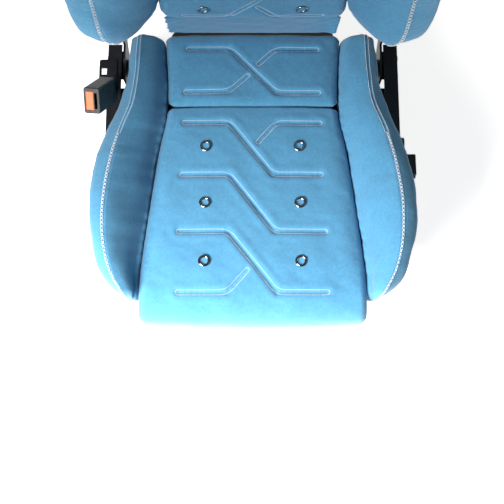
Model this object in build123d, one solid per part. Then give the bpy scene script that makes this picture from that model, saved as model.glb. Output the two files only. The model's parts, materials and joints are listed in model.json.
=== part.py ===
"""Reclining racing seat: slide rails, steel cushion frame, upholstered cushion, reclining backrest with
integral head restraint and harness slots, recline lever with its cable, and a belt buckle on its strap.

Millimetres. +Z up, the seat faces -Y, +X is the occupant's left. The origin is on the floor, at the
centre of the four floor bolts.
"""

from build123d import *
import math
import os

# ---- driving dimensions ----------------------------------------------------------------------------
# rails
rail_x = 178.0               # centre of each rail from the middle of the seat
rail_half_length = 194.0
rail_width = 44.0
rail_height = 24.0
rail_wall = 2.5
rail_lip_gap = 20.0
foot_thickness = 4.0
foot_width = 36.0
bolt_y = 212.0               # floor bolts from the middle, fore and aft
floor_hole_radius = 4.5
upper_half_length = 102.0
upper_web = 6.0
ball_radius = 3.0
ball_pitch = 48.0
ball_count = 5
slide_gap = 0.4
bolt_inset = 80.0            # frame bolts from the middle of the upper rails
frame_base_z = 56.0          # where the cushion frame stands on the upper rails

# cushion frame
frame_outer_x = 252.0        # outer face of the side frames
frame_sheet = 2.5
flange_width = 24.0
frame_front = -165.0
frame_rear = 236.0
frame_middle_z = 174.0       # top flange at y = 0
frame_slope = 0.10
tube_radius = 15.0
tube_wall = 2.0
front_tube_y = -135.0
rear_tube_y = 205.0
pan_sheet = 2.0
spring_wire = 2.0
spring_count = 4

# cushion
cushion_front = -262.0
cushion_rear = 238.0
cushion_middle_z = 244.5     # top of the cushion at y = 0
cushion_slope = 0.182
panel_seam_y = 103.0
panel_thickness = 30.0
skirt_drop = 18.0            # front panel below the side frames' flange line
seam_gap = 0.6
centre_half_rear = 149.0
centre_half_waist = 141.0
centre_half_front = 177.0
bolster_half_rear = 205.0
bolster_half_widest = 254.0
bolster_half_front = 193.0
bolster_rise = 58.0          # ridge above the centre panel at the widest place
bolster_front = -232.0

# eyelets
eyelet_x = 76.0
eyelet_outer = 10.8
eyelet_hole = 5.4
eyelet_height = 3.0
eyelet_pitch = 96.5
first_eyelet_y = -163.0
eyelet_rows = 3

# backrest, in its own plane: x across, depth to the rear, height along the lean
recline_angle = 20.0
back_base_y = 222.0
back_base_z = 256.0
pad_back = 28.0              # plane behind the pads
back_height = 792.0
pad_bottom = 52.0
pad_split = 330.0            # lumbar pad below, upper pad above
slot_panel_bottom = 596.0
slot_panel_height = 56.0
pad_thickness = 42.0
lumbar_bulge = 28.0
back_pad_half = 146.0
back_half_widest = 280.0
back_bolster_rise = 92.0
shoulder_bottom = 430.0
shoulder_half = 274.0
head_half = 140.0
head_thickness = 74.0
flap_drop = 94.0
flap_tilt = 10.0             # the flap's top is this far in front of its foot
flap_thickness = 6.0
shell_depth = 58.0
shell_wall = 3.0
shell_corner = 26.0
shell_edge = 20.0
shell_gap = 2.0
member_x = 207.0             # inner face of the backrest side members
member_sheet = 4.0
member_top = 540.0
lower_tube_height = 130.0
back_tube_radius = 11.0
head_rod_radius = 6.0

# harness slots
slot_width = 70.0
slot_height = 32.0
slot_x = 78.0

# recliner
pivot_y = 285.0
pivot_z = 262.0
hub_radius = 14.0
disc_radius = 34.0
disc_thickness = 6.0
housing_thickness = 5.0
bracket_sheet = 4.0
bracket_radius = 40.0
cover_radius = 45.0
cover_wall = 2.5
cover_depth = 13.0
turn_gap = 0.3
running_gap = 0.05
shaft_radius = 5.0

# recline lever and its cable
lever_y = 60.0
lever_z = 138.0
lever_shaft_radius = 6.0
lever_gap = 5.0              # from the side frame to the lever arm
lever_sheet = 5.0
lever_reach = 58.0
grip_width = 18.0
crank_length = 26.0
cable_radius = 3.0
cable_inset = 8.0            # from the side frame's web

# slide release bar
bar_radius = 6.0
bar_inset = 26.0             # from the rails' centre lines to the bar's arms
bar_pivot_y = -110.0
bar_z = 74.0
bar_front = -236.0
bar_bend = 26.0

# buckle
anchor_y = 155.0
anchor_rise = 22.0           # pivot above the side frame's flange
buckle_lean = 32.0           # forward
buckle_out = 13.0            # outboard, above the bend of the strap
strap_sheet = 3.0
strap_width = 22.0
strap_reach = 30.0           # from the pivot to the bend
buckle_width = 43.0
buckle_thickness = 28.0
buckle_length = 72.0
buckle_wall = 2.0
button_travel = 5.0
tongue_slot = 6.0

# share of the bolster's length from its rear end, of its growth in width from its nearer end, and of
# its rise
CUSHION_BOLSTER = [
    (0.00, 0.00, 0.28), (0.13, 0.14, 0.36), (0.28, 0.47, 0.56), (0.40, 0.78, 0.80),
    (0.50, 0.93, 0.96), (0.62, 1.00, 1.00), (0.74, 0.97, 0.96), (0.84, 0.84, 0.80),
    (0.93, 0.52, 0.50), (1.00, 0.00, 0.22),
]
# height along the lean, inner x, ridge x and outer x as shares of the pad's edge to the widest half
# width, and the ridge's share of the rise
BACK_BOLSTER = [
    (26.0, 0.30, 0.48, 0.62, 0.62), (45.0, 0.10, 0.50, 0.78, 0.80), (80.0, 0.0, 0.56, 0.90, 0.95),
    (150.0, 0.0, 0.62, 1.00, 1.00), (260.0, 0.0, 0.62, 1.00, 0.95), (350.0, 0.0, 0.58, 0.92, 0.74),
    (426.0, 0.0, 0.52, 0.84, 0.55),
]

# the release cable's points as shares of the way from the lever's crank to the cam arm, rearward and up
CABLE_ROUTE = [(0.0, 0.0), (0.26, -0.13), (0.53, -0.16), (0.80, 0.08), (0.955, 0.58), (1.0, 1.0)]

PARTS = {}


def keep(name, *shapes):
    """Stores the solids of one node."""
    solids = [solid for shape in shapes for solid in shape.solids()]
    PARTS[name] = solids[0] if len(solids) == 1 else Compound(children=solids)


def mirrored(shape):
    """The shape's mirror image across the middle plane."""
    return mirror(shape, about=Plane.YZ)


def keep_pair(name, shape):
    """Stores a +X shape as NAME_left and its mirror image as NAME_right."""
    keep(name + "_left", shape)
    keep(name + "_right", mirrored(shape))


def box(x0, x1, y0, y1, z0, z1):
    """A box from its limits."""
    middle = ((x0 + x1) / 2, (y0 + y1) / 2, (z0 + z1) / 2)
    return Pos(*middle) * Box(x1 - x0, y1 - y0, z1 - z0)


def rod_x(x0, x1, y, z, radius):
    """A round bar along X."""
    return Pos((x0 + x1) / 2, y, z) * Rot(0, 90, 0) * Cylinder(radius, x1 - x0)


def rod_z(x, y, z0, z1, radius):
    """A round bar along Z."""
    return Pos(x, y, (z0 + z1) / 2) * Cylinder(radius, z1 - z0)


def side_plate(points, x0, x1):
    """A plate from x0 to x1 with a straight-sided outline of (y, z) points."""
    return extrude(Plane.YZ.offset(x0) * make_face(Polyline(*points, close=True)), x1 - x0)


def hexagon(x, y, z, width, height):
    """A hexagonal head along X, centred on x."""
    turned = Plane.YZ.offset(x - height / 2)
    return extrude(turned * Pos(y, z) * RegularPolygon(width / 2, 6, major_radius=False), height)


def lofted(sections):
    """A straight-sided loft through closed outlines of equal numbers of 3-D points."""
    return loft([make_face(Polyline(*points, close=True)) for points in sections], ruled=True)


def lean(shape):
    """Takes a shape from the backrest's own frame to its place at rest."""
    return Pos(0, back_base_y, back_base_z) * Rot(-recline_angle, 0, 0) * shape


def between(start, end, share):
    """A value part of the way from start to end."""
    return start + (end - start) * share


# ---- surfaces that several pieces share ------------------------------------------------------------
def frame_top(y):
    """Height of the side frames' top flange."""
    return frame_middle_z - frame_slope * y


def cushion_top(y):
    """Height of the cushion's top in its middle."""
    return cushion_middle_z - cushion_slope * y


def centre_half(y):
    """Half width of the centre panels."""
    if y > panel_seam_y:
        share = (y - panel_seam_y) / (cushion_rear - panel_seam_y)
        return between(centre_half_waist, centre_half_rear, share)
    share = (panel_seam_y - y) / (panel_seam_y - cushion_front)
    return between(centre_half_waist, centre_half_front, min(1.0, 1.12 * share))


lean_angle = math.radians(recline_angle)
pivot_depth = ((pivot_y - back_base_y) * math.cos(lean_angle)
               - (pivot_z - back_base_z) * math.sin(lean_angle))
pivot_height = ((pivot_y - back_base_y) * math.sin(lean_angle)
                + (pivot_z - back_base_z) * math.cos(lean_angle))
base_top = foot_thickness + rail_height
floor_of_rail = foot_thickness + rail_wall
runner_z = floor_of_rail + 2 * ball_radius + 2 * slide_gap
runner_half = rail_width / 2 - rail_wall - 2.0
web_x = frame_outer_x - frame_sheet
lever_arm_x = frame_outer_x + lever_gap
bar_half = rail_x - bar_inset
flange_x = frame_outer_x - flange_width
member_outer = member_x + member_sheet
disc_outer = member_outer + disc_thickness
housing_inner = disc_outer + turn_gap
bracket_inner = housing_inner + housing_thickness
bracket_outer = bracket_inner + bracket_sheet
cover_outer = bracket_outer + cover_depth


# ---- rails -----------------------------------------------------------------------------------------
def rail_lower():
    """C-shaped lower rail, open at the top between its lips."""
    half = rail_width / 2
    outer = box(rail_x - half, rail_x + half, -rail_half_length, rail_half_length, foot_thickness, base_top)
    hollow = box(rail_x - half + rail_wall, rail_x + half - rail_wall, -rail_half_length,
                 rail_half_length, floor_of_rail, base_top - rail_wall)
    mouth = box(rail_x - rail_lip_gap / 2, rail_x + rail_lip_gap / 2, -rail_half_length,
                rail_half_length, base_top - rail_wall, base_top)
    return outer - hollow - mouth


def rail_feet():
    """Four foot plates under the rail ends, each with a floor bolt hole beyond the rail."""
    feet = []
    for x in (-rail_x, rail_x):
        for end in (-1, 1):
            near = rail_half_length - 40.0
            far = bolt_y + foot_width / 2
            low, high = sorted((end * near, end * far))
            plate = box(x - foot_width / 2, x + foot_width / 2, low, high, 0, foot_thickness)
            feet.append(plate - rod_z(x, end * bolt_y, -1, foot_thickness + 1, floor_hole_radius))
    return feet


def rail_stops():
    """Folded end stops that close the ends of the lower rails."""
    stops = []
    for x in (-rail_x, rail_x):
        for end in (-1, 1):
            low, high = sorted((end * rail_half_length, end * (rail_half_length + rail_wall)))
            stops.append(box(x - rail_width / 2, x + rail_width / 2, low, high, foot_thickness, base_top))
    return stops


def rail_upper():
    """Upper rail: a runner inside the lower rail, a web through its mouth and a top flange."""
    length = upper_half_length
    runner = box(rail_x - runner_half, rail_x + runner_half, -length, length, runner_z, runner_z + 3.0)
    web = box(rail_x - upper_web / 2, rail_x + upper_web / 2, -length, length, runner_z + 3.0,
              frame_base_z - frame_sheet)
    flange = box(rail_x - 12.0, frame_outer_x, -length, length, frame_base_z - frame_sheet, frame_base_z)
    return runner + web + flange


def rail_balls():
    """Rows of balls that carry the upper rails, in their cages."""
    balls = []
    for x in (-rail_x, rail_x):
        for offset in (-runner_half + 5.0, runner_half - 5.0):
            for index in range(ball_count):
                y = (index - (ball_count - 1) / 2) * ball_pitch
                balls.append(Pos(x + offset, y, floor_of_rail + slide_gap + ball_radius) * Sphere(ball_radius))
    return balls


# ---- cushion frame ---------------------------------------------------------------------------------
def side_frame():
    """Pressed side frame: a web with a sloping top flange and a bottom flange on the upper rail."""
    front, rear, sheet = frame_front, frame_rear, frame_sheet
    web = side_plate([(front, frame_base_z), (rear, frame_base_z), (rear, frame_top(rear)),
                      (front, frame_top(front))], web_x, frame_outer_x)
    top = side_plate([(front, frame_top(front)), (rear, frame_top(rear)), (rear, frame_top(rear) - sheet),
                      (front, frame_top(front) - sheet)], flange_x, web_x)
    bottom = box(rail_x - 12.0, web_x, front + 20, rear - 50, frame_base_z, frame_base_z + sheet)
    window = side_plate([(-120, 90), (10, 90), (10, 135), (-120, 140)], web_x - 1, frame_outer_x + 1)
    frame = web + top + bottom - window
    frame -= rod_x(web_x - 1, frame_outer_x + 1, lever_y, lever_z, lever_shaft_radius + running_gap)
    return frame


def cross_tube(half, y):
    """A tube across the frame, under the seat pan."""
    z = pan_line(y) - tube_radius - 0.1
    return rod_x(-half, half, y, z, tube_radius) - rod_x(-half - 1, half + 1, y, z, tube_radius - tube_wall)


def pan_line(y):
    """Height of the underside of the seat pan."""
    return frame_top(y) - 22.0


def seat_pan():
    """Sheet pan on the two cross tubes."""
    front, rear = front_tube_y - 12.0, rear_tube_y + 12.0
    return side_plate([(front, pan_line(front)), (rear, pan_line(rear)), (rear, pan_line(rear) + pan_sheet),
                       (front, pan_line(front) + pan_sheet)], -bracket_inner + 5.0, bracket_inner - 5.0)


def frame_bolts():
    """Hexagon bolts that hold the side frames to the upper rails."""
    bolts = []
    for side in (-1, 1):
        for y in (-bolt_inset, bolt_inset):
            x = side * (rail_x + 8.0)
            shank_top = frame_base_z + frame_sheet
            head = Pos(x, y, shank_top) * extrude(RegularPolygon(6.5, 6), 5.0)
            bolts.append(head)
    return bolts


# ---- cushion ---------------------------------------------------------------------------------------
def centre_prism(half_gap):
    """Everything above the centre panels' plan outline, drawn in by half_gap."""
    ys = [cushion_rear, panel_seam_y, -28.0, cushion_front + 90, cushion_front]
    right = [(centre_half(y) - half_gap, y) for y in ys]
    left = [(-x, y) for x, y in reversed(right)]
    return extrude(make_face(Polyline(*right, *left, close=True)), 400)


def cushion_piece(points):
    """A centre piece: a (y, z) outline extruded across, cut to the centre outline."""
    return side_plate(points, -300, 300) & centre_prism(seam_gap / 2)


def cushion_rear_panel():
    """Rear centre panel."""
    seam, rear = panel_seam_y + seam_gap / 2, cushion_rear
    return cushion_piece([
        (seam, cushion_top(seam) - panel_thickness), (rear, cushion_top(rear) - panel_thickness),
        (rear, cushion_top(rear) - 10), (rear - 8, cushion_top(rear - 8)),
        (seam + 5, cushion_top(seam + 5)), (seam, cushion_top(seam) - 5),
    ])


def cushion_front_panel():
    """Front centre panel, rolled over the front edge."""
    seam, front = panel_seam_y - seam_gap / 2, cushion_front
    under = panel_thickness
    return cushion_piece([
        (seam, cushion_top(seam) - under), (seam, cushion_top(seam) - 5),
        (seam - 5, cushion_top(seam - 5)), (front + 45, cushion_top(front + 45)),
        (front + 14, cushion_top(front + 45) - 8), (front, cushion_top(front) - 34),
        (front, frame_top(front) - skirt_drop + 10), (front + 10, frame_top(front) - skirt_drop),
        (front + 34, frame_top(front) - skirt_drop), (front + 34, cushion_top(front + 34) - under),
    ])


def cushion_core():
    """Foam base under the centre panels."""
    front, rear = cushion_front + 34.6, cushion_rear
    return cushion_piece([
        (front, frame_top(front) - skirt_drop + 4), (front, cushion_top(front) - panel_thickness - 1),
        (rear, cushion_top(rear) - panel_thickness - 1), (rear, frame_top(rear) + 3),
        (rear_tube_y + 14, frame_top(rear_tube_y + 14) - 19), (front_tube_y - 14, frame_top(front_tube_y - 14) - 19),
    ])


def cushion_bolster():
    """Side bolster on +X: rises from the centre panel's edge to a ridge and falls outside it."""
    sections = []
    for place, width_share, rise_share in CUSHION_BOLSTER:
        y = between(cushion_rear - 2, bolster_front, place)
        end = bolster_half_rear if place < 0.7 else bolster_half_front
        outer = between(end, bolster_half_widest, width_share)
        inner = centre_half(y) + seam_gap / 2
        ridge_z = cushion_top(y) + bolster_rise * rise_share
        low = frame_top(y) + 3.0
        ridge_x = outer - 22.0
        sections.append([
            (inner, y, low), (inner, y, cushion_top(y) - 8), (between(inner, ridge_x, 0.55), y,
             between(cushion_top(y), ridge_z, 0.72)), (ridge_x - 10, y, ridge_z), (ridge_x + 6, y, ridge_z - 2),
            (outer, y, between(ridge_z, low, 0.35)), (outer - 1, y, between(ridge_z, low, 0.75)),
            (outer - 12, y, low),
        ])
    return lofted(sections)


def eyelet():
    """A sheet-metal ring eyelet with a rounded rim, axis +Z, standing on z = 0."""
    ring = Cylinder(eyelet_outer, eyelet_height, align=(Align.CENTER, Align.CENTER, Align.MIN))
    ring = fillet(ring.edges().group_by(Axis.Z)[-1], 1.0)
    return ring - Cylinder(eyelet_hole, 3 * eyelet_height)


def cushion_eyelets():
    """Three rows of eyelets on the front cushion panel."""
    tilt = -math.degrees(math.atan(cushion_slope))
    rings = []
    for row in range(eyelet_rows):
        y = first_eyelet_y + row * eyelet_pitch
        for x in (-eyelet_x, eyelet_x):
            rings.append(Pos(x, y, cushion_top(y) + 0.2) * Rot(tilt, 0, 0) * eyelet())
    return rings


# ---- recliner --------------------------------------------------------------------------------------
def recliner_bracket():
    """Plate from the side frame's rear up to the pivot, with the joggled foot inside the web."""
    foot_top = frame_top(180.0) - frame_sheet
    neck = side_plate([(176, 92), (frame_rear, 92), (pivot_y + 22, pivot_z - 34),
                       (pivot_y - 38, pivot_z - 12), (frame_rear, foot_top + 4), (176, foot_top - 12)],
                      bracket_inner, bracket_outer)
    plate = neck + rod_x(bracket_inner, bracket_outer, pivot_y, pivot_z, bracket_radius)
    plate -= side_plate([(150, frame_top(150) - frame_sheet), (frame_rear + 1, frame_top(frame_rear + 1) - frame_sheet),
                         (frame_rear + 1, 400), (150, 400)], bracket_inner - 1, bracket_outer + 1)
    foot = box(bracket_outer, web_x, 180, 230, 128, 132)
    hole = rod_x(bracket_inner - 1, bracket_outer + 1, pivot_y, pivot_z, shaft_radius + running_gap)
    return plate + foot - hole


def recliner_housing():
    """Toothed recliner housing with the hub that the backrest turns on."""
    housing = rod_x(housing_inner, bracket_inner, pivot_y, pivot_z, disc_radius + 2)
    hub = rod_x(member_x, housing_inner, pivot_y, pivot_z, hub_radius)
    return housing + hub - rod_x(member_x - 1, bracket_outer, pivot_y, pivot_z, shaft_radius + running_gap)


def recliner_disc():
    """Recliner disc that turns with the backrest."""
    disc = rod_x(member_outer, disc_outer, pivot_y, pivot_z, disc_radius)
    return disc - rod_x(member_outer - 1, disc_outer + 1, pivot_y, pivot_z, hub_radius + running_gap)


def hinge_cover():
    """Plastic cover over the bracket and the pivot."""
    outer = rod_x(bracket_outer, cover_outer, pivot_y, pivot_z, cover_radius)
    inner = rod_x(bracket_outer, cover_outer - cover_wall, pivot_y, pivot_z, cover_radius - cover_wall)
    mouth = side_plate([(pivot_y - 30, pivot_z), (pivot_y + 30, pivot_z), (pivot_y + 20, pivot_z - 60),
                        (pivot_y - 44, pivot_z - 60)], bracket_outer, cover_outer - cover_wall)
    return outer - inner - mouth


def recliner_bolts():
    """Bolts through the recliner brackets into the side frames."""
    bolts = []
    for side in (-1, 1):
        for y, z in ((190.0, 112.0), (222.0, 112.0)):
            head = hexagon(side * (frame_outer_x + 3.0), y, z, 13.0, 6.0)
            bolts.append(head)
    return bolts


def sync_shaft():
    """Shaft along the pivot that releases both recliners, with its cam arm on +X."""
    end = cover_outer - cover_wall - 1.0
    arm_x = bracket_outer + 2.5
    shaft = rod_x(-end, end, pivot_y, pivot_z, shaft_radius)
    arm = side_plate([(pivot_y - 7, pivot_z), (pivot_y + 7, pivot_z), (pivot_y + 5, pivot_z - crank_length),
                      (pivot_y - 5, pivot_z - crank_length)], arm_x, arm_x + 3)
    boss = rod_x(arm_x, arm_x + 3, pivot_y, pivot_z, 9.0)
    return shaft + arm + boss


# ---- recline lever ---------------------------------------------------------------------------------
def lever_shaft():
    """Lever pivot through the side frame, with the crank that pulls the cable inside it."""
    shaft = rod_x(web_x - 12, lever_arm_x, lever_y, lever_z, lever_shaft_radius)
    arm = side_plate([(lever_y - 7, lever_z), (lever_y + 7, lever_z), (lever_y + 5, lever_z - crank_length),
                      (lever_y - 5, lever_z - crank_length)], web_x - 15, web_x - 12)
    boss = rod_x(web_x - 15, web_x - 12, lever_y, lever_z, 10.0)
    return shaft + arm + boss


def recline_lever():
    """Steel lever arm that runs forward from the pivot."""
    arm = side_plate([(lever_y + 6, lever_z - 9), (lever_y - 34, lever_z - 2), (lever_y - 34, lever_z + 14),
                      (lever_y + 6, lever_z + 9)], lever_arm_x, lever_arm_x + lever_sheet)
    return arm + rod_x(lever_arm_x, lever_arm_x + lever_sheet, lever_y, lever_z, 12.0)


def lever_grip():
    """Moulded grip over the front of the lever arm."""
    near, far = lever_y - 20.0, lever_y - lever_reach
    inner = lever_arm_x + lever_sheet
    grip = side_plate([(near, lever_z - 6), (near, lever_z + 14), (far, lever_z + 20), (far, lever_z + 2)],
                      inner, inner + grip_width)
    return fillet(grip.edges().filter_by(Axis.X), 3.0)


def lever_cap():
    """Plated cap on the end of the grip."""
    far = lever_y - lever_reach
    inner = lever_arm_x + lever_sheet
    return side_plate([(far, lever_z + 6), (far, lever_z + 16.5), (far - 5, lever_z + 15), (far - 5, lever_z + 7)],
                      inner + 4, inner + grip_width - 1)


def release_cable():
    """Sheathed cable from the lever's crank to the cam arm, clipped along the inside of the frame."""
    start_y, start_z = lever_y + 24.0, lever_z - crank_length
    span_y, span_z = pivot_y - 3.0 - start_y, pivot_z - crank_length - 24.0 - start_z
    points = [Vector(web_x - cable_inset, start_y + along * span_y, start_z + up * span_z)
              for along, up in CABLE_ROUTE]
    runs = [end - start for start, end in zip(points[:-1], points[1:])]
    radii = []
    for run, after in zip(runs[:-1], runs[1:]):
        half_turn = math.radians(run.get_angle(after) / 2)
        radii.append(0.45 * min(run.length, after.length) / math.tan(half_turn))
    path = FilletPolyline(*points, radius=radii)
    section = Plane(path @ 0, z_dir=path % 0) * Circle(cable_radius)
    return sweep(section, path)


# ---- slide release bar -----------------------------------------------------------------------------
def release_bar():
    """Bent bar under the front of the cushion, pivoted on both upper rails."""
    corner = bar_bend
    points = [(-bar_half, bar_pivot_y, bar_z), (-bar_half, bar_front, bar_z + 16), (bar_half, bar_front, bar_z + 16),
              (bar_half, bar_pivot_y, bar_z)]
    path = FilletPolyline(*points, radius=corner)
    section = Plane(path @ 0, z_dir=path % 0) * Circle(bar_radius)
    return sweep(section, path)


def bar_pivots():
    """Pivot blocks at the rear ends of the bar, on pins that stand in from the upper rails."""
    blocks = []
    for side in (-1, 1):
        low, high = sorted((side * (bar_half - 8), side * (bar_half + 8)))
        block = box(low, high, bar_pivot_y - 8, bar_pivot_y + 24, bar_z - 9, bar_z + 9)
        block -= rod_x(low - 1, high + 1, bar_pivot_y + 14, bar_z, 4.0 + running_gap)
        blocks.append(block - release_bar())
    return blocks


def lock_plates():
    """Toothed plates that drop into the lower rails when the bar is let go."""
    plates = []
    for side in (-1, 1):
        low, high = sorted((side * (bar_half - 7), side * (bar_half - 3)))
        plates.append(side_plate([(bar_pivot_y + 24, bar_z - 9), (bar_pivot_y + 24, bar_z + 5),
                                  (bar_pivot_y + 54, bar_z + 5), (bar_pivot_y + 54, bar_z - 34),
                                  (bar_pivot_y + 36, bar_z - 34)], low, high))
    return plates


def bar_pins():
    """Pins and brackets that carry the bar on the side frames."""
    pieces = []
    for side in (-1, 1):
        y = bar_pivot_y + 14
        low, high = sorted((side * (bar_half - 10), side * web_x))
        pieces.append(rod_x(low, high, y, bar_z, 4.0))
    return pieces


# ---- backrest --------------------------------------------------------------------------------------
def pad_front(height):
    """Depth of the centre pads' front face at a height along the lean."""
    share = max(0.0, math.sin(math.pi * min(1.0, (height - pad_bottom + 30) / 330.0)))
    return pad_back - pad_thickness - lumbar_bulge * share


def centre_pad(low, high, half):
    """A centre pad between two heights."""
    steps = 6
    heights = [between(low, high, index / steps) for index in range(steps + 1)]
    front = [(pad_front(height), height) for height in heights]
    front[0] = (front[0][0] + 9, low)
    front[-1] = (front[-1][0] + 7, high)
    return side_plate([(pad_back, low + 8), *front, (pad_back, high)], -half, half)


def away_from_pivot(shape):
    """Cuts the room that the hinge covers need."""
    room = cover_radius + 3.0
    for low, high in ((member_x - 3.0, 400.0), (-400.0, -member_x + 3.0)):
        shape -= rod_x(low, high, pivot_depth, pivot_height, room)
    return shape


def back_bolster():
    """Lower side bolster on +X."""
    sections = []
    span = back_half_widest - back_pad_half
    for height, inner_share, ridge_share, outer_share, rise_share in BACK_BOLSTER:
        inner = back_pad_half + seam_gap / 2 + span * inner_share
        ridge = back_pad_half + span * ridge_share
        outer = back_pad_half + span * outer_share
        front = pad_back - pad_thickness
        peak = front - back_bolster_rise * rise_share * 0.86
        sections.append([
            (inner, pad_back, height), (inner, front - 12 * rise_share, height),
            (between(inner, ridge, 0.6), between(front, peak, 0.75), height), (ridge - 8, peak, height),
            (ridge + 14, peak + 4, height), (outer, between(peak, pad_back, 0.34), height),
            (outer, between(peak, pad_back, 0.7), height), (outer - 12, pad_back, height),
        ])
    return away_from_pivot(lofted(sections))


def shoulder_bolster():
    """Upper side bolster on +X, between the lower bolster and the head."""
    front = pad_back - pad_thickness
    low, high = shoulder_bottom, slot_panel_bottom + 20
    inner = back_pad_half + seam_gap / 2
    rows = [(low, 0.82, 46.0), (low + 50, 1.0, 62.0), (low + 110, 0.96, 58.0), (high, 0.45, 26.0)]
    sections = []
    for height, share, rise in rows:
        outer = between(inner, shoulder_half, share)
        sections.append([
            (inner, pad_back, height), (inner, front - 4, height), (between(inner, outer, 0.6), front - rise, height),
            (between(inner, outer, 0.86), front - rise + 4, height), (outer, front, height),
            (outer - 10, pad_back, height),
        ])
    return lofted(sections)


def head_pad():
    """Integral head restraint pad."""
    low, high = slot_panel_bottom + slot_panel_height + 0.6, back_height
    front = pad_back - head_thickness
    side = [(pad_back, low), (front + 12, low), (front, low + 16), (front - 4, (low + high) / 2),
            (front + 8, high - 22), (front + 26, high - 4), (pad_back, high)]
    pad = side_plate(side, -head_half, head_half)
    plan = Polyline((-head_half, low), (head_half, low), (head_half - 6, high - 40), (head_half - 44, high),
                    (-head_half + 44, high), (-head_half + 6, high - 40), close=True)
    outline = extrude(Plane.XZ.offset(200) * make_face(plan), -400)
    return pad & outline


def harness_slots(clearance, depth_low, depth_high):
    """The two rectangular slot volumes."""
    middle = slot_panel_bottom + slot_panel_height / 2
    half_width, half_height = slot_width / 2 + clearance, slot_height / 2 + clearance
    return [box(x - half_width, x + half_width, depth_low, depth_high, middle - half_height, middle + half_height)
            for x in (-slot_x, slot_x)]


def harness_panel():
    """Moulded panel with two harness slots whose sleeves reach through the back shell."""
    front, rear = pad_back - pad_thickness - 8, pad_back + shell_gap + shell_depth + 2
    low, high = slot_panel_bottom + 0.6, slot_panel_bottom + slot_panel_height
    panel = box(-back_pad_half, back_pad_half, front + 8, pad_back - 14, low, high)
    for sleeve in harness_slots(3.0, front, rear):
        panel += sleeve
    for slot in harness_slots(0.0, front - 5, rear + 5):
        panel -= slot
    return panel


def slot_trims():
    """Rings round the front of each harness slot."""
    trims = []
    front = pad_back - pad_thickness - 8
    for outer, inner in zip(harness_slots(8.0, front - 1.5, front + 5), harness_slots(3.2, front - 5, front + 9)):
        trims.append(outer - inner)
    return trims


def shell_outline(inset):
    """Back shell outline in the backrest plane."""
    low = pivot_height + shaft_radius + 20.0 + inset
    wide = back_half_widest - 26.0 - inset
    neck = head_half - 4.0 - inset
    waist = member_x - 5.0 - inset
    top = back_height - 6.0 - inset
    half = [(waist, low), (waist, 92.0 + inset), (wide, 140.0 + inset), (wide - 4, 300.0), (wide - 18, 430.0),
            (shoulder_half - 26 - inset, 500.0), (shoulder_half - 40 - inset, 560.0),
            (neck, 640.0), (neck - 6, 740.0), (neck - 44, top)]
    return half + [(-x, z) for x, z in reversed(half)]


def back_shell():
    """Hard rear shell: a tray closed behind and open to the pads, with the harness slots."""
    low, high = pad_back + shell_gap, pad_back + shell_gap + shell_depth

    def prism(inset, start, end):
        outline = FilletPolyline(*shell_outline(inset), radius=shell_corner - inset, close=True)
        block = extrude(Plane.XZ.offset(-start) * make_face(outline), -(end - start))
        return fillet(block.faces().sort_by(Axis.Y)[-1].edges(), shell_edge - inset)

    shell = prism(0.0, low, high)
    shell -= prism(shell_wall, low - 1, high - shell_wall)
    for slot in harness_slots(3.4, low - 5, high + 5):
        shell -= slot
    for side in (-1, 1):
        inner, outer = sorted((side * (member_x - 1.5), side * (member_outer + 1.5)))
        shell -= box(inner, outer, low - 1, high + 1, pivot_height, 104.0)
        shell -= box(inner, outer, low - 1, pad_back + 46, pivot_height, 190.0)
    return shell


def side_member():
    """Pressed backrest side member with the pivot boss at its foot."""
    plate = side_plate([(pad_back + 6, 110), (pad_back + 6, member_top), (pad_back + 38, member_top),
                        (pad_back + 38, 110), (pivot_depth + 22, pivot_height), (pivot_depth - 22, pivot_height)],
                       member_x, member_outer)
    boss = rod_x(member_x, member_outer, pivot_depth, pivot_height, disc_radius - 4)
    return plate + boss - rod_x(member_x - 1, member_outer + 1, pivot_depth, pivot_height, hub_radius + 0.4)


def back_tube(height):
    """A cross tube between the side members."""
    depth = pad_back + 22
    tube = rod_x(-member_x, member_x, depth, height, back_tube_radius)
    return tube - rod_x(-member_x - 1, member_x + 1, depth, height, back_tube_radius - tube_wall)


def back_springs():
    """Spring wires across the back, behind the pads."""
    wires = []
    for index in range(spring_count):
        height = 190.0 + index * 90.0
        wires.append(rod_x(-member_x, member_x, pad_back + 12, height, spring_wire))
    return wires


def head_frame():
    """Bent rod that holds up the head restraint, on the top cross tube."""
    depth, half = pad_back + 22, 26.0
    low = member_top - 14 + back_tube_radius
    points = [(-half, depth, low), (-half, depth, back_height - 60), (half, depth, back_height - 60), (half, depth, low)]
    path = FilletPolyline(*points, radius=18)
    section = Plane(path @ 0, z_dir=path % 0) * Circle(head_rod_radius)
    return sweep(section, path)


def tuck_flap():
    """Cloth flap that closes the gap behind the cushion."""
    foot, half = cushion_rear - 5.0, back_pad_half - 3.0
    low = cushion_top(foot) + 5.0
    high = low + flap_drop
    return side_plate([(foot, low), (foot - flap_tilt, high), (foot - flap_tilt + flap_thickness, high),
                       (foot + flap_thickness, low)], -half, half)


def back_eyelets():
    """Eyelets on the backrest's centre pads."""
    rings = []
    for height in (88.0, 200.0, 300.0):
        step = 1.0
        slope = math.degrees(math.atan((pad_front(height + step) - pad_front(height - step)) / (2 * step)))
        for x in (-eyelet_x, eyelet_x):
            place = Pos(x, pad_front(height) - 0.6, height)
            rings.append(place * Rot(90 - slope, 0, 0) * eyelet())
    return rings


# ---- buckle ----------------------------------------------------------------------------------------
anchor_x = -(flange_x + 11.0)            # outboard face of the bracket's ear
anchor_z = frame_top(anchor_y) + anchor_rise
strap_gap = 0.3


def along_strap(shape):
    """Takes a shape from the strap's frame (z along the strap from its pivot) to its place."""
    return Pos(anchor_x - strap_gap, anchor_y, anchor_z) * Rot(buckle_lean, 0, 0) * shape


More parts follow.
